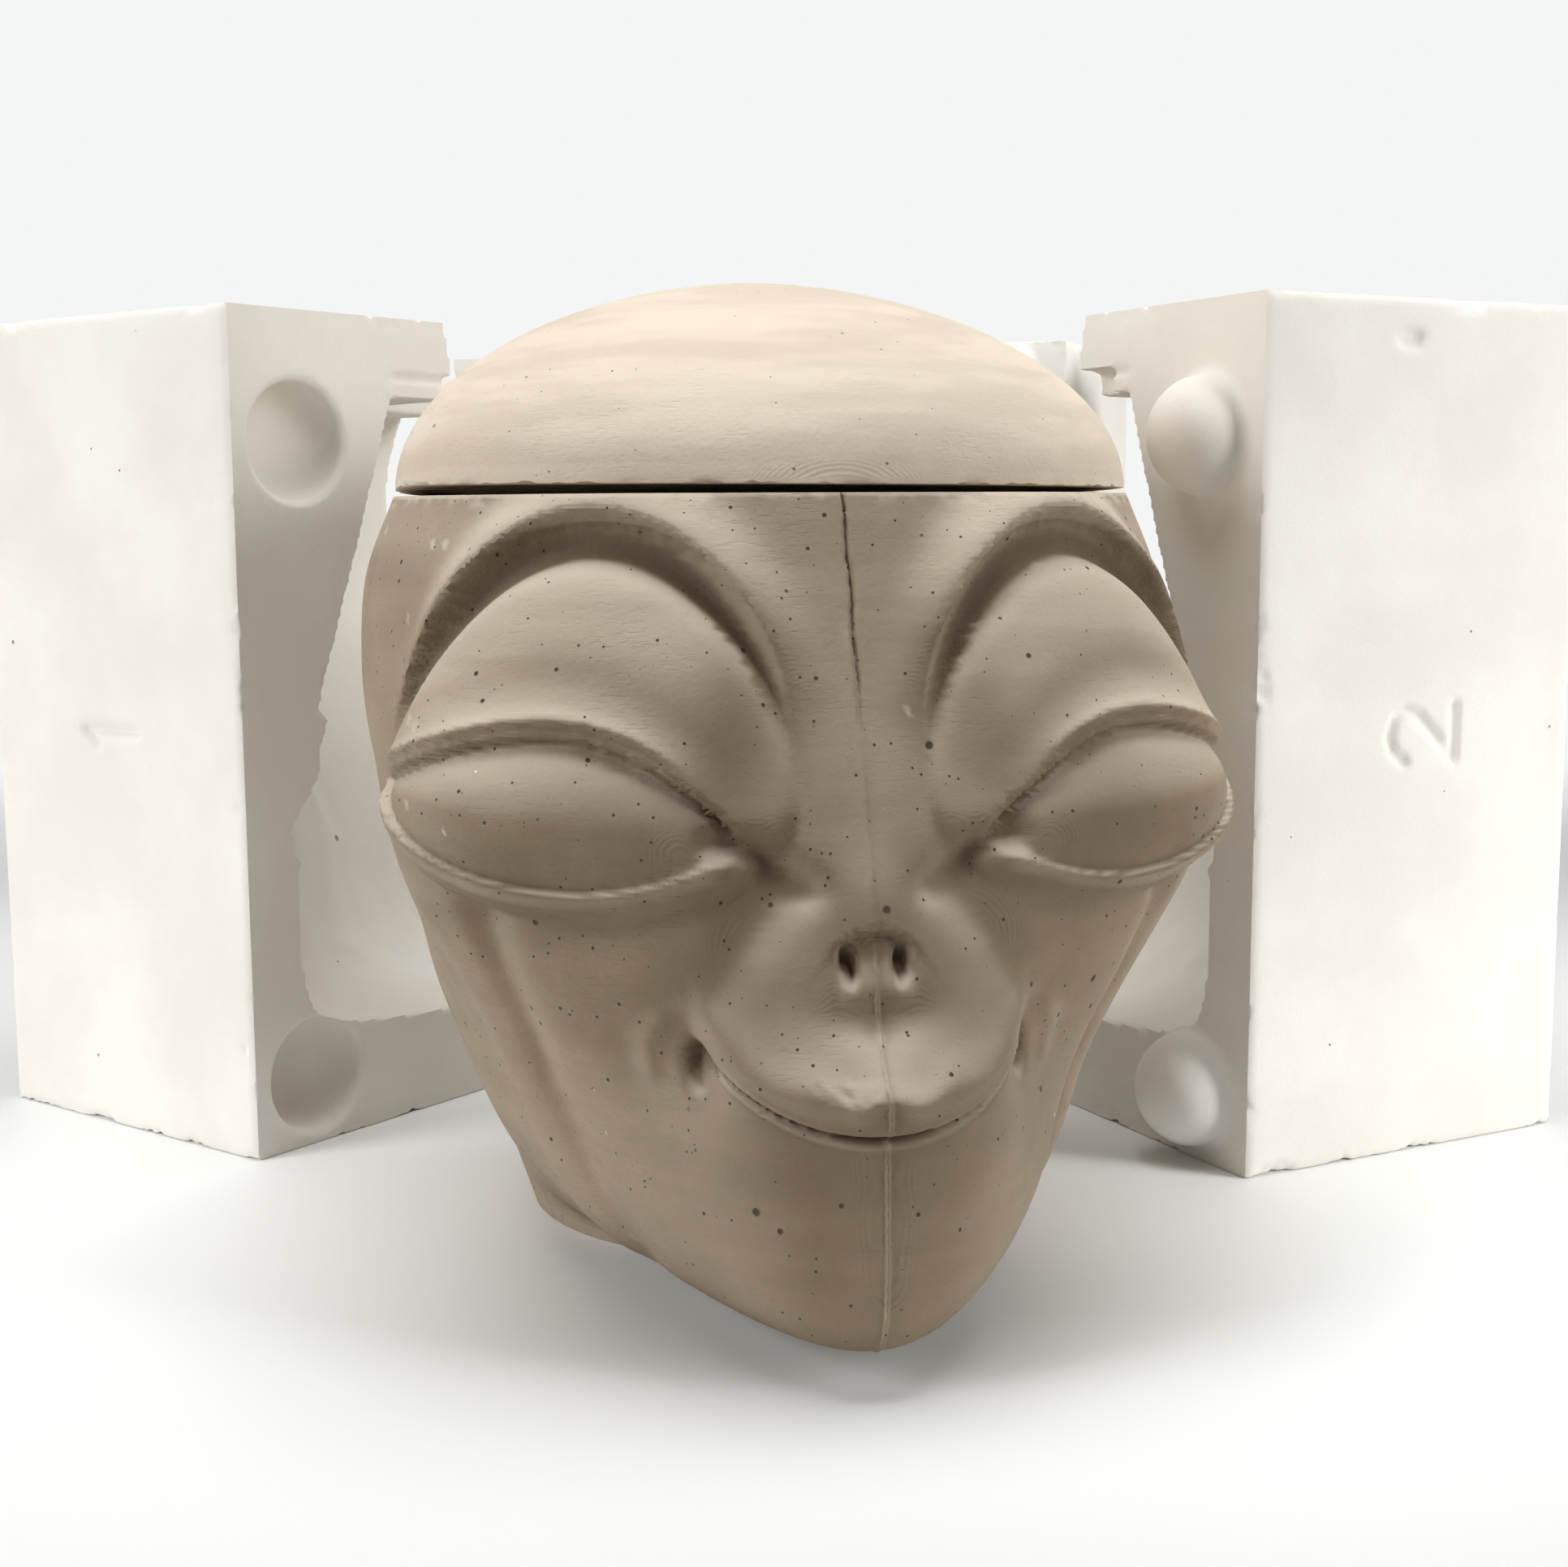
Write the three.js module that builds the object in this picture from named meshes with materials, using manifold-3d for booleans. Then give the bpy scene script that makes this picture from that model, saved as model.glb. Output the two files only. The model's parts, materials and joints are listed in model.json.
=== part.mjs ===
// Plaster slip casting mould in three pieces, standing open round the head-shaped jar and lid cast in it.
// Millimetres, +Z up. The origin is on the jar's axis at table level, and the jar's face looks along -Y.
import * as THREE from 'three';
import { mergeVertices } from 'three/addons/utils/BufferGeometryUtils.js';
import Module from 'manifold-3d';

const wasm = await Module();
wasm.setup();

// Jar: rim, foot, wall and the collar that the lid sits round
const JAW_HEIGHT = 43;
const FACE_HEIGHT = 62;
const RIM_BAND = 12;
const RIM_HEIGHT = JAW_HEIGHT + FACE_HEIGHT + RIM_BAND;
const RIM_RADIUS = 57.5;
const FOOT_RADIUS = 37;
const FOOT_SET_BACK = 12;
const FOOT_FLARE = 2;
const CAST_WALL = 5;
const WALL_BLEND_HEIGHT = 30;
const COLLAR_RADIUS = 44;
const COLLAR_HEIGHT = 3;

// Lid: a dome whose crown lies a little behind the jar's axis
const LID_HEIGHT = 33;
const LID_CROWN_SET_BACK = 9;
const LID_SLOPE = 1.11;
const LID_CROWN_WALL = 6;
const LID_GAP = 0.6;
const LID_CLEARANCE = 0.8;

// Mould: plaster thickness round the hollow, and the pour hole above it
const SIDE_WALL = 9.3;
const FRONT_WALL = 11;
const BACK_WALL = 8;
const MOULD_FLOOR = 17;
const TRIM_SLOT_HEIGHT = 1.8;
const POUR_HOLE_DEPTH = 10;
const POUR_HOLE_STEP = 2;
const POUR_HOLE_FLARE = 2;
const CORNER_RADIUS = 3;

// Wet clay shrinks as it dries, so the hollow is this much larger than the casting
const CAST_GROWTH = 1.01;

// Round keys cast on the parting faces, the sockets that they enter, and the plaster left between a
// socket and the block's base, top, front and sides
const KEY_RADIUS = 10.2;
const KEY_FLARE = 1;
const KEY_CLEARANCE = 0.3;
const KEY_TO_BASE = 1.2;
const KEY_TO_TOP = 11.5;
const KEY_TO_FRONT = 3.5;
const KEY_TO_SIDE = 9.5;
const SMALL_KEY_RADIUS = 3.3;
const SMALL_KEY_FLARE = 0.4;
const SMALL_KEY_TO_SIDE = 7.2;

// How the three blocks stand open: turn from the closed place in degrees, distance of the parting face
// from the jar's axis, and where its front edge lies along that face
const LEFT_TURN = -47.6;
const LEFT_FACE_DISTANCE = 87.3;
const LEFT_EDGE_ALONG = -33.9;
const RIGHT_TURN = 15.4;
const RIGHT_FACE_DISTANCE = 78.9;
const RIGHT_EDGE_ALONG = -27.5;
const BACK_TURN = -30.8;
const BACK_STAND_GAP = 5.5;
const BACK_CORNER_INSET = 30.4;

// Mesh fineness: more columns over the face than over the back of the head, and wider rows under the jaw
const FACE_HALF_ANGLE = 76;
const HEAD_COLUMNS = { face: 40, behind: 18 };
const HEAD_ROWS = 40;
const HOLLOW_COLUMNS = { face: 28, behind: 18 };
const HOLLOW_ROWS = 27;
const INSIDE_ROWS = 10;
const ROW_CROWDING = 0.8;
const TURNED_SIDES = 48;
const LID_SIDES = 36;
const LID_STEPS = 7;
const KEY_SIDES = 14;
const KEY_STEPS = 4;

// Head outline, one level a row, from the foot to the rim: [reach, height] in front, at the side and
// behind, how far its middle lies behind the axis, and how much its front narrows
const FOOT_FRONT = FOOT_RADIUS - FOOT_SET_BACK;
const FOOT_BACK = FOOT_RADIUS + FOOT_SET_BACK;
const FACE_TOP = JAW_HEIGHT + FACE_HEIGHT;
const RIM = [RIM_RADIUS, RIM_HEIGHT];
const outline = (front, side, back, setBack = 0, pinch = 0) => ({ front, side, back, setBack, pinch });
const HEAD_LEVELS = [
  outline([FOOT_FRONT, 0], [FOOT_RADIUS, 0], [FOOT_BACK, 0], FOOT_SET_BACK),
  outline([FOOT_FRONT + FOOT_FLARE, 1], [FOOT_RADIUS + FOOT_FLARE, 6], [FOOT_BACK + FOOT_FLARE, 9],
    FOOT_SET_BACK),
  outline([53, 2], [41, 12], [54, 15], 10, 0.15),
  outline([75, 5], [44, 18], [58, 21], 8, 0.28),
  outline([81.5, 11], [47, 25], [60.5, 28], 6, 0.28),
  outline([82.5, 22], [50, 33], [62.5, 36], 4, 0.26),
  outline([82, 33], [53, 42], [64, 45], 2, 0.2),
  outline([80.5, JAW_HEIGHT], [55, JAW_HEIGHT + 8], [64.5, JAW_HEIGHT + 10], 0, 0.12),
  outline([77, JAW_HEIGHT + 11], [57, JAW_HEIGHT + 17], [65, JAW_HEIGHT + 19], 0, 0.05),
  outline([73.5, JAW_HEIGHT + 23], [59, JAW_HEIGHT + 27], [65, JAW_HEIGHT + 28]),
  outline([70, JAW_HEIGHT + 37], [62, JAW_HEIGHT + 38], [64.5, JAW_HEIGHT + 38]),
  outline([66, JAW_HEIGHT + 49], [63, JAW_HEIGHT + 49], [63.5, JAW_HEIGHT + 49]),
  outline([61.5, FACE_TOP], [62, FACE_TOP], [61.5, FACE_TOP]),
  outline(RIM, RIM, RIM),
];

// Soft swells and hollows of the face: place, spread and rise, with angles in degrees from the nose and
// heights above the jaw
const CHEEKBONE = { angle: 53, angleSpread: 23, height: 26, heightSpread: 20, rise: 8 };
const EYE_CORNER = { angle: 13.5, angleSpread: 6.5, height: 35, heightSpread: 14, rise: -5.5 };
const NOSE_BRIDGE = { across: 0, acrossSpread: 8, height: 23, heightSpread: 14, rise: 2.5 };
const NOSE_TIP = { across: 0, acrossSpread: 6.5, height: 16.5, heightSpread: 5, rise: 3 };
const MUZZLE = { across: 0, acrossSpread: 22, height: 0, heightSpread: 10, rise: 2.2 };
const CHEEK_HOLLOW = { across: 33, acrossSpread: 9, height: -3, heightSpread: 12, rise: -3 };

// Eye: its middle, the globe, the almond between the lids and the brow over it
const EYE = { angle: 34.5, height: 42, arcRadius: 66 };
const GLOBE = { across: -1, halfWidth: 27.5, up: -6, halfAbove: 30, halfBelow: 19, rise: 6.5 };
const ALMOND = {
  across: 4, halfWidth: 30, up: -10.5, slant: 0.08, above: 10.5, aboveLean: 0.4, below: 8.8, belowLean: 0.25,
  sink: 2, edge: 1.5,
};
const BROW = {
  across: -3, halfWidth: 30, halfHeight: 29.5, roundness: 2.5, lowerShare: 0.45, rise: 3, spread: 4.6,
  innerFoot: -26, innerTop: -6, outerFoot: -12, outerTop: 2,
};
const BROW_GROOVE = { share: 0.8, depth: 2, spread: 3.8 };

// Mouth: a smile that climbs towards its corners
const MOUTH = { height: -7, climb: 8, halfWidth: 20.5, fade: 3.5, curl: 2.4, depth: 2.3, spread: 1.8 };
const UPPER_LIP = { over: 4.5, spread: 3.5, acrossSpread: 18, rise: 1.6 };

// The relief fades out over this height below the rim, and round the sides of the head
const RIM_FADE = 2.5;
const FACE_FADE_START = 80;
const FACE_FADE_END = 110;

const gauss = (distance, spread) => Math.exp(-((distance / spread) ** 2));
const smoothstep = (low, high, value) => {
  const k = THREE.MathUtils.clamp((value - low) / (high - low), 0, 1);
  return k * k * (3 - 2 * k);
};

// One curve for each column of numbers in the outline
const levelCurve = (pick) => new THREE.CatmullRomCurve3(
  HEAD_LEVELS.map((level) => new THREE.Vector3(...pick(level))), false, 'catmullrom', 0.5);
const frontCurve = levelCurve((level) => [level.front[0], level.front[1], level.pinch]);
const sideCurve = levelCurve((level) => [level.side[0], level.side[1], level.setBack]);
const backCurve = levelCurve((level) => [level.back[0], level.back[1], 0]);

// Point of the plain head at a level from 0 (foot) to 1 (rim), at an angle from the nose
function plainHead(level, angle) {
  const front = frontCurve.getPoint(level);
  const side = sideCurve.getPoint(level);
  const back = backCurve.getPoint(level);
  const ahead = Math.cos(angle);
  const facing = ahead > 0;
  const pinch = facing ? front.z * ahead * ahead : 0;
  const reach = facing ? front.x + side.z : back.x - side.z;
  const endHeight = facing ? front.y : back.y;
  return new THREE.Vector3(
    side.x * Math.sin(angle) * (1 - pinch),
    side.z - reach * ahead,
    side.y + (endHeight - side.y) * ahead * ahead,
  );
}

const swellByAngle = (swell, angle, height) => swell.rise
  * gauss(angle - swell.angle, swell.angleSpread) * gauss(height - swell.height, swell.heightSpread);
const swellAcross = (swell, across, height) => swell.rise
  * gauss(across - swell.across, swell.acrossSpread) * gauss(height - swell.height, swell.heightSpread);

// Globe, brow and almond of one eye; across and up are measured on the head from the eye's middle
function eyeRelief(across, up) {
  const half = up > GLOBE.up ? GLOBE.halfAbove : GLOBE.halfBelow;
  const q = Math.hypot((across - GLOBE.across) / GLOBE.halfWidth, (up - GLOBE.up) / half);
  let rise = GLOBE.rise * Math.sqrt(Math.max(0, 1 - q * q));
  const u = (across - ALMOND.across) / ALMOND.halfWidth;
  const span = Math.max(0, 1 - u * u);
  const chord = ALMOND.up + ALMOND.slant * (across - ALMOND.across);
  const upperLid = chord + ALMOND.above * (1 - ALMOND.aboveLean * u) * span;
  const lowerLid = chord - ALMOND.below * (1 - ALMOND.belowLean * u) * span;
  if (span > 0) {
    rise -= ALMOND.sink * smoothstep(-ALMOND.edge, ALMOND.edge, upperLid - up)
      * smoothstep(-ALMOND.edge, ALMOND.edge, up - lowerLid);
  }
  const high = up > 0 ? up : up * BROW.lowerShare;
  const ring = (Math.abs((across - BROW.across) / BROW.halfWidth) ** BROW.roundness
    + Math.abs(high / BROW.halfHeight) ** BROW.roundness) ** (1 / BROW.roundness);
  const outer = across > 0 ? smoothstep(BROW.outerFoot, BROW.outerTop, up) : 1;
  const arch = smoothstep(BROW.innerFoot, BROW.innerTop, up) * outer;
  rise += BROW.rise * arch * gauss((ring - 1) * BROW.halfHeight, BROW.spread);
  rise -= BROW_GROOVE.depth * arch
    * gauss((ring - BROW_GROOVE.share) * BROW.halfHeight, BROW_GROOVE.spread);
  return rise;
}

function mouthRelief(across, height) {
  const line = MOUTH.height + MOUTH.climb * (across / MOUTH.halfWidth) ** MOUTH.curl;
  const open = smoothstep(MOUTH.halfWidth + MOUTH.fade, MOUTH.halfWidth, across);
  return open * (UPPER_LIP.rise * gauss(height - line - UPPER_LIP.over, UPPER_LIP.spread)
    * gauss(across, UPPER_LIP.acrossSpread) - MOUTH.depth * gauss(height - line, MOUTH.spread));
}

// How far the face stands out of the plain head at one of its points
function faceRelief(point) {
  const angle = Math.abs(THREE.MathUtils.radToDeg(Math.atan2(point.x, -point.y)));
  const across = Math.abs(point.x);
  const height = point.z - JAW_HEIGHT;
  const around = THREE.MathUtils.degToRad(angle - EYE.angle) * EYE.arcRadius;
  let rise = swellByAngle(CHEEKBONE, angle, height) + swellByAngle(EYE_CORNER, angle, height);
  rise += eyeRelief(around, height - EYE.height);
  if (point.y < 0) {
    rise += swellAcross(NOSE_BRIDGE, across, height) + swellAcross(NOSE_TIP, across, height);
    rise += swellAcross(MUZZLE, across, height) + swellAcross(CHEEK_HOLLOW, across, height);
    rise += mouthRelief(across, height);
  }
  return rise * smoothstep(FACE_FADE_END, FACE_FADE_START, angle)
    * smoothstep(RIM_HEIGHT, RIM_HEIGHT - RIM_FADE, point.z);
}

function moveOut(point, distance) {
  const radius = Math.hypot(point.x, point.y);
  const k = (radius + distance) / radius;
  return new THREE.Vector3(point.x * k, point.y * k, point.z);
}

const headPoint = (level, angle) => {
  const point = plainHead(level, angle);
  return moveOut(point, faceRelief(point));
};

// Inner side of the cast wall: set in by the wall, and lifted off the floor and the underside of the jaw
const insidePoint = (level, angle) => {
  const point = plainHead(level, angle);
  const relief = faceRelief(point);
  const inside = moveOut(point, Math.min(relief, relief / 2) - CAST_WALL);
  inside.z += CAST_WALL * Math.max(0, 1 - point.z / WALL_BLEND_HEIGHT);
  return inside;
};

const headLevels = (rows) => Array.from(
  { length: rows }, (_, row) => (row / (rows - 1)) ** ROW_CROWDING);

function columnAngle(column, columns) {
  const facing = column < columns.face;
  const share = facing ? column / columns.face : (column - columns.face) / columns.behind;
  const [from, to] = facing ? [-FACE_HALF_ANGLE, FACE_HALF_ANGLE] : [FACE_HALF_ANGLE, 360 - FACE_HALF_ANGLE];
  return THREE.MathUtils.degToRad(THREE.MathUtils.lerp(from, to, share));
}

// Closed skin through rings of points, on the grid of a sphere, with a point at each end
function skinOfRings(firstPoint, rings, lastPoint, columns) {
  const around = columns.face + columns.behind;
  const geometry = new THREE.SphereGeometry(1, around, rings.length + 1);
  const position = geometry.getAttribute('position');
  for (let index = 0; index < position.count; index += 1) {
    const row = Math.floor(index / (around + 1));
    const column = (index % (around + 1)) % around;
    let point = rings[row - 1]?.(columnAngle(column, columns));
    if (row === 0) point = firstPoint;
    if (row === rings.length + 1) point = lastPoint;
    position.setXYZ(index, point.x, point.y, point.z);
  }
  return welded(geometry);
}

function welded(geometry) {
  geometry.deleteAttribute('normal');
  geometry.deleteAttribute('uv');
  return mergeVertices(geometry, 1e-4);
}

function toSolid(geometry) {
  const vertProperties = new Float32Array(geometry.getAttribute('position').array);
  const triVerts = new Uint32Array(geometry.getIndex().array);
  return new wasm.Manifold(new wasm.Mesh({ numProp: 3, vertProperties, triVerts }));
}

function toGeometry(solid) {
  const mesh = solid.getMesh();
  const geometry = new THREE.BufferGeometry();
  geometry.setAttribute('position', new THREE.BufferAttribute(new Float32Array(mesh.vertProperties), 3));
  geometry.setIndex(new THREE.BufferAttribute(new Uint32Array(mesh.triVerts), 1));
  return geometry;
}

const circle = (radius, height) => (angle) => new THREE.Vector3(
  radius * Math.sin(angle), -radius * Math.cos(angle), height);

// Solid of the whole head up to a flat top, which shapes the mould's hollow
function headForm() {
  const rings = headLevels(HOLLOW_ROWS).map((level) => (angle) => headPoint(level, angle)).reverse();
  const top = new THREE.Vector3(0, 0, RIM_HEIGHT);
  const bottom = new THREE.Vector3(0, FOOT_SET_BACK, 0);
  const geometry = skinOfRings(top, rings, bottom, HOLLOW_COLUMNS);
  return geometry.scale(CAST_GROWTH, CAST_GROWTH, CAST_GROWTH).translate(0, 0, MOULD_FLOOR);
}

function jarBody() {
  const shelfUnder = RIM_HEIGHT - CAST_WALL;
  const mouth = COLLAR_RADIUS - CAST_WALL;
  const inner = headLevels(INSIDE_ROWS).slice(0, -1).map((level) => (angle) => insidePoint(level, angle));
  const collar = [
    circle(RIM_RADIUS - CAST_WALL, shelfUnder), circle(mouth, shelfUnder),
    circle(mouth, RIM_HEIGHT + COLLAR_HEIGHT), circle(COLLAR_RADIUS, RIM_HEIGHT + COLLAR_HEIGHT),
    circle(COLLAR_RADIUS, RIM_HEIGHT),
  ];
  const outer = headLevels(HEAD_ROWS).map((level) => (angle) => headPoint(level, angle)).reverse();
  const insideFloor = new THREE.Vector3(0, FOOT_SET_BACK, CAST_WALL);
  const footMiddle = new THREE.Vector3(0, FOOT_SET_BACK, 0);
  return skinOfRings(insideFloor, [...inner, ...collar, ...outer], footMiddle, HEAD_COLUMNS);
}

// A lathe leaves triangles with no area where its profile meets the axis
function withoutSlivers(geometry) {
  const corners = geometry.getIndex().array;
  const kept = [];
  for (let corner = 0; corner < corners.length; corner += 3) {
    const [a, b, c] = corners.slice(corner, corner + 3);
    if (a !== b && b !== c && c !== a) kept.push(a, b, c);
  }
  geometry.setIndex(kept);
  return geometry;
}

// Turned shape about +Z from [radius, height] points that run up its outside, axis to axis
function turned(points, sides) {
  const profile = points.map(([radius, height]) => new THREE.Vector2(radius, height));
  return withoutSlivers(welded(new THREE.LatheGeometry(profile, sides).rotateX(Math.PI / 2)));
}

// Dome over the jar, hollow inside, whose flat rim seats round the collar
function jarLid() {
  const seatRadius = COLLAR_RADIUS + LID_CLEARANCE;
  const seatDepth = COLLAR_HEIGHT + LID_CLEARANCE;
  const insideRise = LID_HEIGHT - LID_CROWN_WALL - seatDepth;
  const turns = Array.from({ length: LID_STEPS + 1 }, (_, step) => (step / LID_STEPS) * (Math.PI / 2));
  const outside = turns.map((turn) => [
    RIM_RADIUS * Math.max(0, Math.cos(turn)) ** LID_SLOPE, LID_HEIGHT * Math.sin(turn)]);
  const inside = turns.map((turn) => [
    seatRadius * Math.cos(turn), seatDepth + insideRise * Math.sin(turn)]);
  outside[LID_STEPS][0] = 0;
  inside[LID_STEPS][0] = 0;
  const dome = turned([...inside.reverse(), [seatRadius, 0], ...outside], LID_SIDES);
  const position = dome.getAttribute('position');
  for (let index = 0; index < position.count; index += 1) {
    const lean = (position.getZ(index) / LID_HEIGHT) ** 2;
    position.setY(index, position.getY(index) + LID_CROWN_SET_BACK * lean);
  }
  return dome;
}

// Heights in the closed mould
const hollowTop = MOULD_FLOOR + RIM_HEIGHT * CAST_GROWTH;
const slotBottom = hollowTop + COLLAR_HEIGHT * CAST_GROWTH;
const slotTop = slotBottom + TRIM_SLOT_HEIGHT;
const blockHeight = slotTop + POUR_HOLE_DEPTH;

// Neck between the hollow and the trimming slot, the slot, and the flared pour hole, as one turned shape
function pourWay() {
  const neck = COLLAR_RADIUS * CAST_GROWTH;
  const trimRadius = RIM_RADIUS * CAST_GROWTH;
  const pourRadius = COLLAR_RADIUS - POUR_HOLE_STEP;
  const above = blockHeight + 1;
  const flare = pourRadius + POUR_HOLE_FLARE * (above - slotTop) / POUR_HOLE_DEPTH;
  return turned([
    [0, hollowTop - 1], [neck, hollowTop - 1], [neck, slotBottom], [trimRadius, slotBottom],
    [trimRadius, slotTop], [pourRadius, slotTop], [flare, above], [0, above],
  ], TURNED_SIDES);
}

// Domed key that stands on the plane z = 0 along +Z, with a flared root that starts below that plane
function keyShape(radius, flare) {
  const points = [[0, -flare], [radius + flare, -flare], [radius + flare, 0]];
  for (let step = 0; step < KEY_STEPS; step += 1) {
    const turn = (step / KEY_STEPS) * (Math.PI / 2);
    points.push([radius * Math.cos(turn), flare + (radius - flare) * Math.sin(turn)]);
  }
  points.push([0, radius]);
  return turned(points, KEY_SIDES);
}

const towardsLeft = new THREE.Matrix4().makeRotationY(-Math.PI / 2);
const towardsFront = new THREE.Matrix4().makeRotationX(Math.PI / 2);
const placed = (geometry, turn, x, y, z) => toSolid(
  geometry.clone().applyMatrix4(turn).translate(x, y, z));

// Plan of a block as a rounded rectangle whose corners on the parting faces stay square
function blockSolid(lowX, highX, lowY, highY, roundCorners) {
  const shape = new THREE.Shape();
  const corners = [[lowX, lowY], [highX, lowY], [highX, highY], [lowX, highY]];
  corners.forEach(([x, y], index) => {
    const before = corners[(index + 3) % 4];
    const after = corners[(index + 1) % 4];
    const radius = roundCorners[index] ? CORNER_RADIUS : 0;
    const startX = x + Math.sign(before[0] - x) * radius;
    const startY = y + Math.sign(before[1] - y) * radius;
    if (index === 0) shape.moveTo(startX, startY);
    else shape.lineTo(startX, startY);
    const endX = x + Math.sign(after[0] - x) * radius;
    const endY = y + Math.sign(after[1] - y) * radius;
    if (radius > 0) shape.quadraticCurveTo(x, y, endX, endY);
  });
  const options = { depth: blockHeight, bevelEnabled: false, curveSegments: 3 };
  return toSolid(welded(new THREE.ExtrudeGeometry(shape, options)));
}

const hollowGeometry = headForm();
hollowGeometry.computeBoundingBox();
const hollowBox = hollowGeometry.boundingBox;
const hollow = toSolid(hollowGeometry).add(toSolid(pourWay()));
const halfWidth = hollowBox.max.x + SIDE_WALL;
const frontDepth = FRONT_WALL - hollowBox.min.y;
const backDepth = BACK_WALL + hollowBox.max.y;
const keyReach = KEY_RADIUS + KEY_FLARE + KEY_CLEARANCE;
const lowKeyHeight = KEY_TO_BASE + keyReach;
const highKeyHeight = blockHeight - KEY_TO_TOP - keyReach;
const frontKeyY = KEY_TO_FRONT + keyReach - frontDepth;
const backKeyX = halfWidth - KEY_TO_SIDE - keyReach;
const smallKeyX = halfWidth - SMALL_KEY_TO_SIDE - SMALL_KEY_RADIUS - SMALL_KEY_FLARE - KEY_CLEARANCE;
const smallKeyHeight = (slotTop + blockHeight) / 2;

const key = keyShape(KEY_RADIUS, KEY_FLARE);
const socket = keyShape(KEY_RADIUS + KEY_CLEARANCE, KEY_FLARE);
const smallKey = keyShape(SMALL_KEY_RADIUS, SMALL_KEY_FLARE);
const smallSocket = keyShape(SMALL_KEY_RADIUS + KEY_CLEARANCE, SMALL_KEY_FLARE);

// Keys between left and right blocks face left; keys between back and front blocks face the front
const frontKeys = (shape) => [lowKeyHeight, highKeyHeight].map(
  (height) => placed(shape, towardsLeft, 0, frontKeyY, height));
const backKeys = (shape, small) => [-1, 1].flatMap((side) => [
  placed(shape, towardsFront, side * backKeyX, 0, lowKeyHeight),
  placed(small, towardsFront, side * smallKeyX, 0, smallKeyHeight),
]);

function leftBlock() {
  let solid = blockSolid(-halfWidth, 0, -frontDepth, 0, [true, false, false, true]).subtract(hollow);
  [...frontKeys(socket), ...backKeys(socket, smallSocket)].forEach((cut) => {
    solid = solid.subtract(cut);
  });
  return toGeometry(solid);
}

function rightBlock() {
  let solid = blockSolid(0, halfWidth, -frontDepth, 0, [false, true, true, false]).subtract(hollow);
  backKeys(socket, smallSocket).forEach((cut) => {
    solid = solid.subtract(cut);
  });
  frontKeys(key).forEach((dome) => {
    solid = solid.add(dome);
  });
  return toGeometry(solid);
}

function backBlock() {
  let solid = blockSolid(-halfWidth, halfWidth, 0, backDepth, [false, false, true, true]).subtract(hollow);
  backKeys(key, smallKey).forEach((dome) => {
    solid = solid.add(dome);
  });
  return toGeometry(solid);
}

const material = (color, roughness) => new THREE.MeshStandardMaterial({ color, roughness, metalness: 0 });
const plaster = () => material(0xece4d6, 0.9);
const clay = () => material(0xc4b49e, 0.82);

function named(name, geometry, finish) {
  const mesh = new THREE.Mesh(geometry, finish);
  mesh.name = name;
  geometry.computeVertexNormals();
  return mesh;
}

// Group that carries a block from its closed place to where it stands open
function standingOpen(mesh, turnDegrees, x, y) {
  const group = new THREE.Group();
  group.rotation.z = THREE.MathUtils.degToRad(turnDegrees);
  group.position.set(x, y, 0);
  group.add(mesh);
  group.updateMatrixWorld(true);
  return group;
}

// A side block stands with its parting face turned to the jar, side is -1 for left and 1 for right
function sideStand(mesh, side, turnDegrees, faceDistance, edgeAlong) {
  const turn = THREE.MathUtils.degToRad(turnDegrees);
  const outward = new THREE.Vector2(side * Math.cos(turn), side * Math.sin(turn));
  const along = new THREE.Vector2(-Math.sin(turn), Math.cos(turn));
  const middle = outward.multiplyScalar(faceDistance).addScaledVector(along, edgeAlong + frontDepth);
  return standingOpen(mesh, turnDegrees, middle.x, middle.y);
}

const model = new THREE.Group();

const body = named('jar_body', jarBody(), clay());
model.add(body);

const lid = named('jar_lid', jarLid(), clay());
lid.position.z = RIM_HEIGHT + LID_GAP;
model.add(lid);

const left = named('left_mould_block', leftBlock(), plaster());
model.add(sideStand(left, -1, LEFT_TURN, LEFT_FACE_DISTANCE, LEFT_EDGE_ALONG));

const right = named('right_mould_block', rightBlock(), plaster());
const rightStand = sideStand(right, 1, RIGHT_TURN, RIGHT_FACE_DISTANCE, RIGHT_EDGE_ALONG);
model.add(rightStand);

// The back block's front right corner stands just behind the right block's rear face
const corner = new THREE.Vector3(BACK_CORNER_INSET, BACK_STAND_GAP, 0).applyMatrix4(rightStand.matrixWorld);
const backTurn = THREE.MathUtils.degToRad(BACK_TURN);
const back = named('back_mould_block', backBlock(), plaster());
model.add(standingOpen(back, BACK_TURN, corner.x - halfWidth * Math.cos(backTurn),
  corner.y - halfWidth * Math.sin(backTurn)));

export default model;
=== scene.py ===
# %% [markdown]
# # A slip casting mould, opened, with the jar that was cast in it
# Liquid clay, called slip, is poured into a hollow plaster mould. The plaster drinks the water, a wall of
# clay builds up on it, and the rest is poured out. This mould parts into three blocks that round keys line
# up. They stand open behind a head-shaped jar with its lid on. The clay is dry but not yet fired.
#
# Everything here is worked out in millimetres, as a mould maker would, and turned to metres at the end.

# %% Load the frame and keep its box
import json
import math

import bmesh
import bpy
import numpy as np
from mathutils import Matrix, Vector, noise


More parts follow.
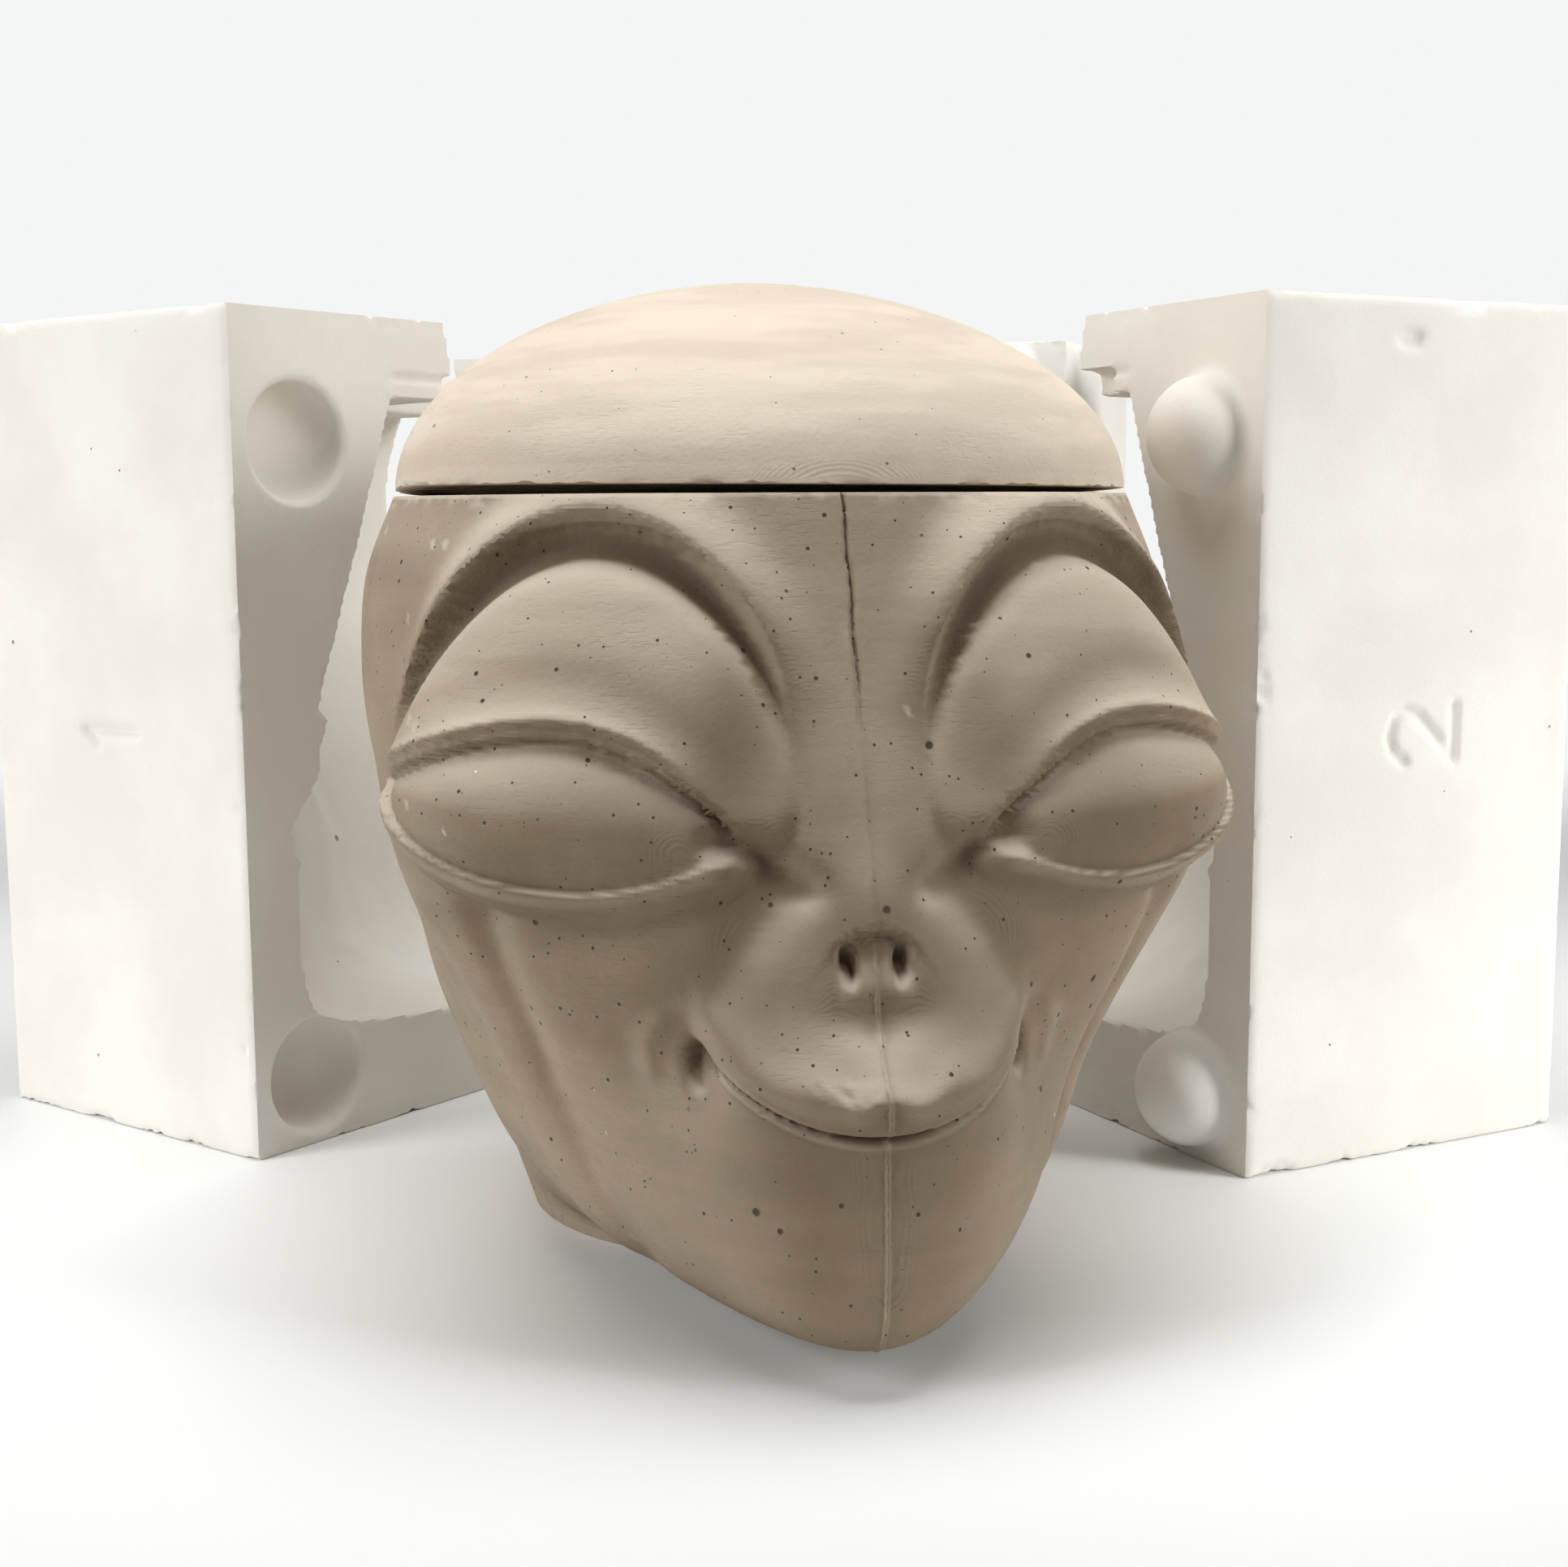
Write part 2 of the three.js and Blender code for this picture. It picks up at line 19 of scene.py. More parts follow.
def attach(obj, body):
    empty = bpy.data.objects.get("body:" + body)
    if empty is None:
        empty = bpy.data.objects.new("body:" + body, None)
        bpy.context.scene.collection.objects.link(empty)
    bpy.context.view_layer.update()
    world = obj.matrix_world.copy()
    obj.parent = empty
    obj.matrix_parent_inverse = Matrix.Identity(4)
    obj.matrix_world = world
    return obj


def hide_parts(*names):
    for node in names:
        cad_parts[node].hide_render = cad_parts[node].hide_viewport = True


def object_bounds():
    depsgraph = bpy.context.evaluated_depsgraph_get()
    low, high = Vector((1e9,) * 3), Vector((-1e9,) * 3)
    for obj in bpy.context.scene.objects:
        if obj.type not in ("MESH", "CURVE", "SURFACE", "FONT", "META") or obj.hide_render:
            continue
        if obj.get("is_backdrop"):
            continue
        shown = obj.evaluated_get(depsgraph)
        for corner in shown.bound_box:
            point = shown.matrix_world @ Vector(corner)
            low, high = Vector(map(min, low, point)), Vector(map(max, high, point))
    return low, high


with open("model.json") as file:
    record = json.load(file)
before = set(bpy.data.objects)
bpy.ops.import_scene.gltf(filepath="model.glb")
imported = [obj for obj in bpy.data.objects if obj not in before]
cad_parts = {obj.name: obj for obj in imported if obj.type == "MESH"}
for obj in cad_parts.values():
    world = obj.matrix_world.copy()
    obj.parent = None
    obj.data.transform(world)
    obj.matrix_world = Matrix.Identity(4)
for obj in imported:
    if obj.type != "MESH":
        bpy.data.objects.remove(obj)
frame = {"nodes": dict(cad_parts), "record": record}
cad_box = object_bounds()
MM = 0.001
print("solids", sorted(frame["nodes"]))

# %% [markdown]
# ## The camera
# The camera's place was worked out from the right-angled corners of the blocks. It stands a little left of
# the jar and a hand's width above it, looks slightly down and to the right, and has the moderate lens of a
# phone held close. A Blender camera looks along its own -Z, so it is tipped up by 90 degrees less the
# downward pitch before it is turned to its heading.

# %% Camera
CAMERA_PLACE = Vector((-63.8, -331.4, 114.9))
CAMERA_HEADING = math.radians(-11.5)
CAMERA_TIP = math.radians(90 - 7.47)
CAMERA_ROLL = math.radians(-0.28)

camera_data = bpy.data.cameras.new("camera")
camera_data.lens = 48.16
camera_data.sensor_width = 36
camera_data.clip_start = 0.01
camera = bpy.data.objects.new("camera", camera_data)
bpy.context.scene.collection.objects.link(camera)
camera.matrix_world = (
    Matrix.Translation(CAMERA_PLACE * MM)
    @ Matrix.Rotation(CAMERA_HEADING, 4, "Z")
    @ Matrix.Rotation(CAMERA_TIP, 4, "X")
    @ Matrix.Rotation(CAMERA_ROLL, 4, "Z")
)
bpy.context.scene.camera = camera
print("camera at", [round(v, 1) for v in CAMERA_PLACE], "mm")

# %% [markdown]
# ## Making meshes
# A head, a hollow and a dome are all rings of points stacked from one end to the other. Blender's UV
# sphere is already such a stack, with its poles closed, so each of its vertices only has to be moved to
# its place on its ring. That keeps the skin closed and its faces outwards, which a boolean cut needs.


# %% Skin through stacked rings
def skin_of_rings(first, rings, last):
    columns = len(rings[0])
    rows = len(rings) + 1
    bm = bmesh.new()
    bmesh.ops.create_uvsphere(bm, u_segments=columns, v_segments=rows, radius=1)
    for vertex in bm.verts:
        row = round(math.acos(max(-1, min(1, vertex.co.z))) / math.pi * rows)
        column = round(math.atan2(vertex.co.y, vertex.co.x) / math.tau * columns) % columns
        if row == 0:
            vertex.co = first
        elif row == rows:
            vertex.co = last
        else:
            vertex.co = rings[row - 1][column]
    return bm


# %% [markdown]
# Keys, sockets and the pour hole are turned shapes. A profile in the XZ plane is spun a full turn about Z,
# and the doubled points where it meets itself and the axis are merged.


# %% Turned shape from a profile
def turned(profile, steps):
    bm = bmesh.new()
    line = [bm.verts.new((radius, 0, height)) for radius, height in profile]
    edges = [bm.edges.new(pair) for pair in zip(line, line[1:])]
    bmesh.ops.spin(bm, geom=line + edges, cent=(0, 0, 0), axis=(0, 0, 1), angle=math.tau,
                   steps=steps, use_merge=True)
    bmesh.ops.remove_doubles(bm, verts=bm.verts, dist=0.001)
    bmesh.ops.recalc_face_normals(bm, faces=bm.faces)
    return bm


# %% Object from a bmesh
def as_object(bm, name):
    mesh = bpy.data.meshes.new(name)
    bm.to_mesh(mesh)
    bm.free()
    piece = bpy.data.objects.new(name, mesh)
    bpy.context.scene.collection.objects.link(piece)
    return piece


# %% [markdown]
# ## The head's outline
# The head was drawn as a few outline levels from the foot to the rim. Each level is nearly an oval, but its
# front, sides and back lie at their own heights, because the chin hangs low in front and the neck rises
# behind. One smooth curve runs through each column of the table.

# %% Outline levels
# Each row: reach and height in front, at the side and behind, set-back of the middle, narrowing of the front
HEAD_LEVELS = (
    (25, 0, 37, 0, 49, 0, 12, 0),
    (27, 1, 39, 6, 51, 9, 12, 0),
    (53, 2, 41, 12, 54, 15, 10, 0.15),
    (75, 5, 44, 18, 58, 21, 8, 0.28),
    (81.5, 11, 47, 25, 60.5, 28, 6, 0.28),
    (82.5, 22, 50, 33, 62.5, 36, 4, 0.26),
    (82, 33, 53, 42, 64, 45, 2, 0.2),
    (80.5, 43, 55, 51, 64.5, 53, 0, 0.12),
    (77, 54, 57, 60, 65, 62, 0, 0.05),
    (73.5, 66, 59, 70, 65, 71, 0, 0),
    (70, 80, 62, 81, 64.5, 81, 0, 0),
    (66, 92, 63, 92, 63.5, 92, 0, 0),
    (61.5, 105, 62, 105, 61.5, 105, 0, 0),
    (57.5, 117, 57.5, 117, 57.5, 117, 0, 0),
)
RIM_RADIUS = HEAD_LEVELS[-1][0]
RIM_HEIGHT = HEAD_LEVELS[-1][1]
FOOT_SET_BACK = HEAD_LEVELS[0][6]


def level_at(share):
    """The outline's numbers at a share of the way from the foot to the rim, on smooth curves."""
    place = share * (len(HEAD_LEVELS) - 1)
    index = min(int(place), len(HEAD_LEVELS) - 2)
    t = place - index
    here, there = HEAD_LEVELS[index], HEAD_LEVELS[index + 1]
    numbers = []
    for column, (b, c) in enumerate(zip(here, there)):
        a = HEAD_LEVELS[index - 1][column] if index > 0 else 2 * b - c
        d = HEAD_LEVELS[index + 2][column] if index + 2 < len(HEAD_LEVELS) else 2 * c - b
        numbers.append(
            b + 0.5 * t * (c - a + t * (2 * a - 5 * b + 4 * c - d + t * (3 * (b - c) + d - a)))
        )
    return numbers


def plain_point(level, angle):
    """A point of the bare head. The angle is 0 at the nose and grows towards +X."""
    front, front_z, side, side_z, back, back_z, middle, pinch = level
    ahead = math.cos(angle)
    if ahead > 0:
        reach, end_z, narrow = front + middle, front_z, pinch * ahead * ahead
    else:
        reach, end_z, narrow = back - middle, back_z, 0
    return Vector((
        side * math.sin(angle) * (1 - narrow),
        middle - reach * ahead,
        side_z + (end_z - side_z) * ahead * ahead,
    ))


print("head", 2 * max(row[2] for row in HEAD_LEVELS), "mm wide,", RIM_HEIGHT, "mm to the rim")


# %% [markdown]
# ## The face
# The face is a relief on that bare head: every point is moved in or out along its radius. Most of it is
# soft swells, bell curves with a place, a spread and a rise. A sculptor would push the same masses about
# first: the cheekbones, the muzzle and the hollows beside the nose.


# %% Soft swells
def bell(distance, spread):
    return math.exp(-((distance / spread) ** 2))


def ease(low, high, value):
    share = max(0.0, min(1.0, (value - low) / (high - low)))
    return share * share * (3 - 2 * share)


def masses(angle, across, z, in_front):
    rise = 9.5 * bell(angle - 49, 21) * bell(z - 71, 20)
    rise -= 3 * bell(angle - 12, 5) * bell(z - 80, 13)
    if in_front:
        rise += 1.2 * bell(across, 9) * bell(z - 68, 12)
        rise += 0.6 * bell(across, 15) * bell(z - 44, 12)
        rise -= 2.8 * bell(angle - 22, 8) * bell(z - 43, 11)
        rise -= 2 * bell(across - 34, 9) * bell(z - 38, 12)
    return rise


# %% [markdown]
# Creases and folds are strokes of a tool: each follows a bent line over the head, and what lies within its
# spread is pressed in or raised. A line is given in degrees round from the nose and in height.

# %% Strokes
DEGREE = 1.2
STROKES = (
    (-1.6, 1.6, ((16, 72.3), (11.5, 70.4))),
    (-1.4, 2.4, ((12, 70.6), (9.5, 69), (6.5, 66.5))),
    (-1.3, 3.8, ((10, 64.5), (13.7, 58.7), (16.7, 53.3), (19.6, 49.5))),
    (0.6, 1.8, ((23.8, 41), (24, 45), (21.6, 49), (19, 50.5))),
    (-1.8, 3.6, ((43, 60), (42.5, 48), (41.5, 35), (35, 22), (28, 12))),
    (0.8, 3.6, ((54, 60), (51.5, 48), (50, 35), (43, 18), (36, 8))),
)


def distance_to_line(x, y, line):
    nearest = math.inf
    for (x0, y0), (x1, y1) in zip(line, line[1:]):
        share = ((x - x0) * (x1 - x0) + (y - y0) * (y1 - y0)) / ((x1 - x0) ** 2 + (y1 - y0) ** 2)
        share = max(0.0, min(1.0, share))
        nearest = min(nearest, math.hypot(x - x0 - share * (x1 - x0), y - y0 - share * (y1 - y0)))
    return nearest


def stroke_rise(angle, z, rise, spread, line):
    x0, x1 = min(x for x, _ in line), max(x for x, _ in line)
    if not x0 - 3 * spread < angle < x1 + 3 * spread:
        return 0.0
    scaled = [(x * DEGREE, y) for x, y in line]
    return rise * bell(distance_to_line(angle * DEGREE, z, scaled), spread)


# %% [markdown]
# The eyes take up half the face. A globe fills the socket, and a brow ridge arches over it. Between them
# lies a cove that is widest at the top: steep under the ridge's sharp inner edge, flat beside the globe.


# %% Brow, globe and cove
def brow_and_globe(across, up):
    x, y = across + 2, up + 8
    radius = math.hypot(x, y)
    sine, cosine = (y / radius, x / radius) if radius > 0 else (1.0, 0.0)
    narrow = 29.2 - 1.3 * max(0, cosine)
    if sine > 0:
        edge = narrow + 2.9 * sine * sine
    else:
        edge = 1 / math.hypot(cosine / narrow, sine / 15.5)
    inside = 1 - (radius / edge) ** 2
    rise = 6.5 * math.sqrt((math.hypot(inside, 0.025) + inside) / 2)
    if sine > 0:
        width = 5.8 * sine ** 1.3 + 0.2
        strength = (ease(0, 0.5, sine) if cosine > 0 else ease(0.05, 0.9, sine)) * min(1, width / 4.6)
        outside = radius - edge
        if outside > width:
            rise += 3.6 * strength * bell(outside - width, 4.6)
        elif outside > 0:
            rise += strength * (5.4 * (outside / width) ** 2.2 - 1.8)
        else:
            rise -= 1.8 * strength * bell(outside, 1.6)
    return rise


# %% [markdown]
# An almond is sunk into the globe. What is left above it reads as a heavy lid. The almond is an eyeball of
# its own, with a flat strip along each edge as the margin of the lid: the upper strip faces down and fades
# towards the nose, the lower one is wider and runs the whole way.


# %% Lids
def lids(across, up):
    u = (across - 0.9) / 26.1
    span = 1 - u * u
    if span <= -0.1:
        return 0.0
    chord = -9.8 + 0.115 * (across - 0.9)
    upper = chord + 10.3 * (1 - 0.5 * u) * max(0, span)
    lower = chord - 8.9 * (1 - 0.15 * u) * max(0, span)
    taper = ease(-0.1, 0.2, span)
    outer = ease(-0.85, -0.3, u)
    above, below = up - upper, lower - up
    share = max(0.0, min(1.0, -below / max(0.5, upper - lower)))
    sunk = 0.8 + 0.7 * outer + (1.9 - 0.3 * outer) * share - 1.3 * 4 * share * (1 - share) * max(0, span)
    rise = -sunk * ease(0.55, -0.55, above) * ease(0.5, -0.8, below) * taper
    rise -= 0.8 * ease(2.3, 1.5, above) * ease(-0.3, 0.3, above) * outer * taper
    rise += 0.35 * bell(above - 2.6, 0.8) * outer * taper
    rise -= 0.8 * bell(above - 6, 4) * max(0, span)
    rise += 0.4 * ease(-0.5, 0.5, below) * ease(3.6, 2.3, below) * taper - 0.35 * bell(below - 3.1, 0.7) * taper
    rise -= 1.0 * bell(below - 5.5, 3.2) * max(0, span)
    return rise


# %% [markdown]
# The nose ends in a small blunt hood with two teardrop slits under its edge. The mouth is a thin line that
# climbs into the cheeks, with a full upper lip that has an edge of its own, and a pit at each corner.


# %% Nose and mouth
def nose_and_mouth(across, z):
    hood_edge = 61.9 - 0.09 * across * across
    hood = ease(6, 4.4, across)
    rise = 1.0 * bell(across, 4.8) * ease(76, 63, z) * ease(hood_edge - 1, hood_edge, z)
    rise -= 1.4 * hood * ease(hood_edge, hood_edge - 1.3, z) * ease(51.5, 59, z)
    oval = math.hypot((across - 3.6 - 0.1 * (z - 57)) / 1.2, (z - 56.9) / 2.2)
    rise -= 2.1 * math.exp(-(oval ** 4))
    rise += 1.2 * bell(across - 3.6, 0.6) * bell(z - 56.1, 0.9)
    rise -= 1.7 * bell(across, 6.5) * bell(z - 50, 3.2)
    line = z - 36 - 8 * (across / 21.2) ** 2.4
    along = ease(24, 21, across)
    rise += 1.9 * ease(-0.25, 0.4, line) * bell(line, 7) * along
    rise -= 1.9 * bell(line + 0.1, 0.6) * along
    lip = line - 4.6 - 0.5 * math.cos(across * 0.7)
    rise += 1.3 * bell(lip, 2.8 if lip > 0 else 1.9) * bell(across, 10)
    rise += 0.2 * bell(line + 3, 2) * along * bell(across, 14)
    rise -= 3.0 * bell(across - 22.6, 1.5) * bell(z - 43.4, 3.3)
    rise -= 1.3 * bell(across - 22.5, 3.5) * bell(z - 43.2, 4.5)
    return rise


# %% The whole relief
def relief(point):
    angle = abs(math.degrees(math.atan2(point.x, -point.y)))
    if angle > 110:
        return 0.0
    across = abs(point.x)
    rise = masses(angle, across, point.z, point.y < 0)
    around, up = 66 * math.radians(angle - 34.5), point.z - 85
    rise += brow_and_globe(around, up) + lids(around, up)
    if point.y < 0:
        rise += nose_and_mouth(across, point.z)
        rise += sum(stroke_rise(angle, point.z, *stroke) for stroke in STROKES)
    return rise * ease(110, 80, angle)


def head_point(level, angle):
    point = plain_point(level, angle)
    radius = math.hypot(point.x, point.y)
    scale = (radius + relief(point)) / radius
    return Vector((point.x * scale, point.y * scale, point.z))


def inside_point(level, angle, wall=5, blend_height=30):
    """The inner side of the wall follows the outside softly, because slip builds up evenly."""
    point = plain_point(level, angle)
    radius = math.hypot(point.x, point.y)
    rise = relief(point)
    scale = (radius + min(rise, rise / 2) - wall) / radius
    lift = wall * max(0, 1 - point.z / blend_height)
    return Vector((point.x * scale, point.y * scale, point.z + lift))


def ring_angles(bands):
    """Angles round the head. A band gives how far from the nose it reaches and its step, in degrees."""
    half = [0.0]
    for reach, step in bands:
        start = half[-1]
        count = round((reach - start) / step)
        half += [start + (reach - start) * (i + 1) / count for i in range(count)]
    return [math.radians(angle) for angle in [-angle for angle in half[:0:-1]] + half[:-1]]


# %% [markdown]
# ## Materials
# Pottery plaster and dry clay are both matte and slightly uneven. Both get a broad mottling of colour, a
# fine grain, and pinholes where air bubbles sat against the mould. All patterns read object coordinates,
# which are metres on the piece itself, so they stay put when the camera or the piece moves.


# %% Small helpers for node trees
def new_material(name):
    material = bpy.data.materials.new(name)
    material.use_nodes = True
    tree = material.node_tree
    shader = tree.nodes["Principled BSDF"]
    coordinates = tree.nodes.new("ShaderNodeTexCoord")
    return material, tree, shader, coordinates


def add(tree, kind, **values):
    """A node with its properties or inputs set by name."""
    node = tree.nodes.new(kind)
    for key, value in values.items():
        if key in node.inputs:
            node.inputs[key].default_value = value
        else:
            setattr(node, key, value)
    return node


def stretched(tree, coordinates, scale):
    node = add(tree, "ShaderNodeMapping")
    node.inputs["Scale"].default_value = scale
    tree.links.new(coordinates.outputs["Object"], node.inputs["Vector"])
    return node.outputs["Vector"]


def noise_field(tree, vector, scale, detail=3.0, roughness=0.55):
    node = add(tree, "ShaderNodeTexNoise", Scale=scale, Detail=detail, Roughness=roughness)
    tree.links.new(vector, node.inputs["Vector"])
    return node.outputs["Fac"]


def remap(tree, value, low, high, to_low=0.0, to_high=1.0, smooth=True):
    node = add(tree, "ShaderNodeMapRange", interpolation_type="SMOOTHSTEP" if smooth else "LINEAR")
    for name, number in zip(("From Min", "From Max", "To Min", "To Max"), (low, high, to_low, to_high)):
        node.inputs[name].default_value = number
    tree.links.new(value, node.inputs["Value"])
    return node.outputs["Result"]


def maths(tree, operation, first, second):
    node = add(tree, "ShaderNodeMath", operation=operation)
    for socket, value in zip(node.inputs, (first, second)):
        if isinstance(value, (int, float)):
            socket.default_value = value
        else:
            tree.links.new(value, socket)
    return node.outputs["Value"]


def mixed(tree, factor, first, second):
    """Colour mix. Each colour is a tuple or another colour output."""
    node = add(tree, "ShaderNodeMix", data_type="RGBA")
    tree.links.new(factor, node.inputs["Factor"])
    for socket, value in ((node.inputs["A"], first), (node.inputs["B"], second)):
        if isinstance(value, tuple):
            socket.default_value = (*value, 1)
        else:
            tree.links.new(value, socket)
    return node.outputs["Result"]


def bumped(tree, height, distance, strength=1.0, before=None):
    node = add(tree, "ShaderNodeBump", Strength=strength, Distance=distance)
    tree.links.new(height, node.inputs["Height"])
    if before is not None:
        tree.links.new(before, node.inputs["Normal"])
    return node.outputs["Normal"]


def holes(tree, vector, scale, radius, chance):
    """Sparse round pinholes: 1 in a hole and 0 outside. Chance is the share of cells that have one."""
    cells = add(tree, "ShaderNodeTexVoronoi", feature="F1", Scale=scale)
    tree.links.new(vector, cells.inputs["Vector"])
    split = add(tree, "ShaderNodeSeparateColor")
    tree.links.new(cells.outputs["Color"], split.inputs["Color"])
    size = maths(tree, "ADD", maths(tree, "MULTIPLY", split.outputs["Green"], 0.9), 0.4)
    spot = remap(tree, maths(tree, "DIVIDE", cells.outputs["Distance"], size), radius, radius * 0.45, 0.0, 1.0)
    chosen = maths(tree, "LESS_THAN", split.outputs["Red"], chance)
    return maths(tree, "MULTIPLY", spot, chosen)


# %% [markdown]
# ### Plaster
# Cream white, with faint clouds of warmer cream where slip has stained it. The grain is a fine bump, and a
# few pits and a faint waviness break the flat outer faces.


# %% Plaster
def plaster():
    material, tree, shader, coordinates = new_material("plaster")
    place = coordinates.outputs["Object"]
    clouds = remap(tree, noise_field(tree, place, 24, 4), 0.35, 0.7)
    colour = mixed(tree, clouds, (0.79, 0.755, 0.695), (0.855, 0.835, 0.79))
    # The pits are coloured dark: painted shade inside each pit.
    pits = maths(tree, "MAXIMUM", holes(tree, place, 210, 0.07, 0.12), holes(tree, place, 70, 0.05, 0.3))
    colour = mixed(tree, pits, colour, (0.36, 0.31, 0.25))
    tree.links.new(colour, shader.inputs["Base Color"])
    shader.inputs["Roughness"].default_value = 0.88
    shader.inputs["Specular IOR Level"].default_value = 0.25
    grain = bumped(tree, noise_field(tree, place, 2200, 2), 0.00008, 0.5)
    waves = bumped(tree, noise_field(tree, place, 110, 3), 0.0002, 0.4, grain)
    pitted = bumped(tree, maths(tree, "SUBTRACT", 1.0, pits), 0.0005, 0.9, waves)
    tree.links.new(pitted, shader.inputs["Normal"])
    return material


# %% [markdown]
# ### Dry clay
# The clay is a grey brown with light and shade painted into its colour: painted top light makes it paler
# where it faces up, and painted side light makes it a little paler where it faces sideways. Sharp ridges are
# paler as a painted highlight and because clay dries there first, and creases get painted shade. Its surface
# repeats the mould's: a seam wherever two blocks met, the fine steps of the model that the mould was taken
# from, which show as growth rings where the surface faces straight forward, and short level scratches.
# Pinholes of three sizes are the bubbles, coloured dark as painted shade inside each hole.


# %% Marks in the clay
def seam_line(tree, axis, wander, half_width=0.00032):
    """1 along the plane where this axis is zero, with a slightly wandering edge."""
    beside = maths(tree, "ADD", axis, wander)
    return remap(tree, maths(tree, "ABSOLUTE", beside, 0), half_width, half_width * 0.35)


def facing_axes(tree):
    """Which way each point of the piece faces, from the attribute kept on its mesh."""
    stored = add(tree, "ShaderNodeAttribute")
    stored.attribute_name = "facing"
    facing = add(tree, "ShaderNodeSeparateXYZ")
    tree.links.new(stored.outputs["Vector"], facing.inputs["Vector"])
    return facing


def growth_rings(tree, facing, axes, layer=0.00014):
    """Steps of the layered model, shown only where they are wider than a grain of clay."""
    forward = remap(tree, maths(tree, "ABSOLUTE", facing.outputs["Y"], 0), 0.955, 0.992)
    wave = maths(tree, "SINE", maths(tree, "MULTIPLY", axes.outputs["Y"], math.tau / layer), 0)
    return maths(tree, "MULTIPLY", wave, forward)


def level_scratches(tree, coordinates):
    fine = noise_field(tree, stretched(tree, coordinates, (1, 1, 6)), 420, 3)
    patches = remap(tree, noise_field(tree, coordinates.outputs["Object"], 75, 2), 0.45, 0.62)
    return maths(tree, "MULTIPLY", remap(tree, fine, 0.54, 0.66), patches)


# %% Clay
def clay(name, deep, pale, lit_and_dry_colour, seamed, holed, banded):
    material, tree, shader, coordinates = new_material(name)
    facing = facing_axes(tree)
    place = coordinates.outputs["Object"]
    axes = add(tree, "ShaderNodeSeparateXYZ")
    tree.links.new(place, axes.inputs["Vector"])

    clouds = remap(tree, noise_field(tree, place, 38, 5), 0.3, 0.72)
    colour = mixed(tree, clouds, deep, pale)
    stored = add(tree, "ShaderNodeAttribute")
    stored.attribute_name = "hollow"
    hollow = stored.outputs["Fac"]
    # Painted top light: paler where the clay faces up, held back in hollows as painted shade. Sharp ridges get a
    # painted highlight, where the clay also dries first.
    painted_light_and_drying = remap(tree, facing.outputs["Z"], 0.1, 0.75, 0.0, 0.8)
    painted_light_and_drying = maths(tree, "MULTIPLY", painted_light_and_drying, remap(tree, hollow, 0.5, 0.1))
    painted_light_and_drying = maths(tree, "MAXIMUM", painted_light_and_drying, remap(tree, hollow, -0.35, -0.9, 0.0, 0.25))
    # Painted side light: faces turned sideways are made a little paler, and all of it is mixed towards the lit
    # colour.
    beside = remap(tree, maths(tree, "ABSOLUTE", facing.outputs["X"], 0), 0.45, 0.9, 0.0, 0.2)
    colour = mixed(tree, maths(tree, "MAXIMUM", painted_light_and_drying, beside), colour, lit_and_dry_colour)
    bands = remap(tree, noise_field(tree, stretched(tree, coordinates, (0.3, 0.3, 2.2)), 90, 3), 0.4, 0.62)
    colour = mixed(tree, maths(tree, "MULTIPLY", bands, banded), colour, tuple(0.8 * channel for channel in deep))
    # Painted shade: creases and hollows are darkened.
    painted_crease_shade = remap(tree, hollow, 0.3, 1.2, 0.0, 0.6)
    colour = mixed(tree, painted_crease_shade, colour, tuple(0.35 * channel for channel in deep))
    # The pinholes are coloured dark: painted shade inside each hole.
    small = holes(tree, place, 640, 0.13, 0.55 * holed)
    middling = holes(tree, place, 310, 0.12, 0.45 * holed)
    large = holes(tree, place, 120, 0.07, 0.5 * holed)
    pinholes = maths(tree, "MAXIMUM", small, maths(tree, "MAXIMUM", middling, large))
    colour = mixed(tree, pinholes, colour, tuple(0.4 * channel for channel in deep))
    crumbs = holes(tree, place, 97, 0.035, 0.35)
    colour = mixed(tree, crumbs, colour, (0.85, 0.82, 0.76))
    tree.links.new(colour, shader.inputs["Base Color"])
    shader.inputs["Roughness"].default_value = 0.82
    shader.inputs["Specular IOR Level"].default_value = 0.3

    normal = bumped(tree, noise_field(tree, place, 1400, 3), 0.00014, 0.7)
    normal = bumped(tree, noise_field(tree, place, 260, 3), 0.00035, 0.5, normal)
    normal = bumped(tree, growth_rings(tree, facing, axes), 0.00004, 0.8, normal)
    normal = bumped(tree, maths(tree, "SUBTRACT", 1.0, level_scratches(tree, coordinates)), 0.00012, 0.5, normal)
    if seamed:
        wander = maths(tree, "MULTIPLY", maths(tree, "SUBTRACT", noise_field(tree, place, 70, 3), 0.5), 0.0022)
        normal = bumped(tree, seam_line(tree, axes.outputs["Y"], wander), 0.0002, 0.9, normal)
    normal = bumped(tree, maths(tree, "SUBTRACT", 1.0, pinholes), 0.0004, 0.9, normal)
    tree.links.new(normal, shader.inputs["Normal"])
    return material


plaster_finish = plaster()
# The jar's two tones are the clay's own grey brown, darkened further as painted shade for the faces turned forward,
# and its third colour is painted light. The lid is the same clay; its paler colours are a painted lit copy of it.
clay_finish = clay("clay", (0.19, 0.136, 0.086), (0.27, 0.205, 0.135), (0.63, 0.55, 0.445), True, 0.9, 0.12)
lid_finish = clay("clay_lid", (0.54, 0.45, 0.355), (0.64, 0.55, 0.44), (0.73, 0.64, 0.525), False, 0.15, 0.3)
print("materials", [material.name for material in bpy.data.materials])


# %% [markdown]
# ## From millimetres to the finished piece
# Each piece is finished in the same way: its mesh is scaled to metres and put in its place, it is shaded
# smooth, the solid it stands for is hidden, and it is hung on the body that carries it.


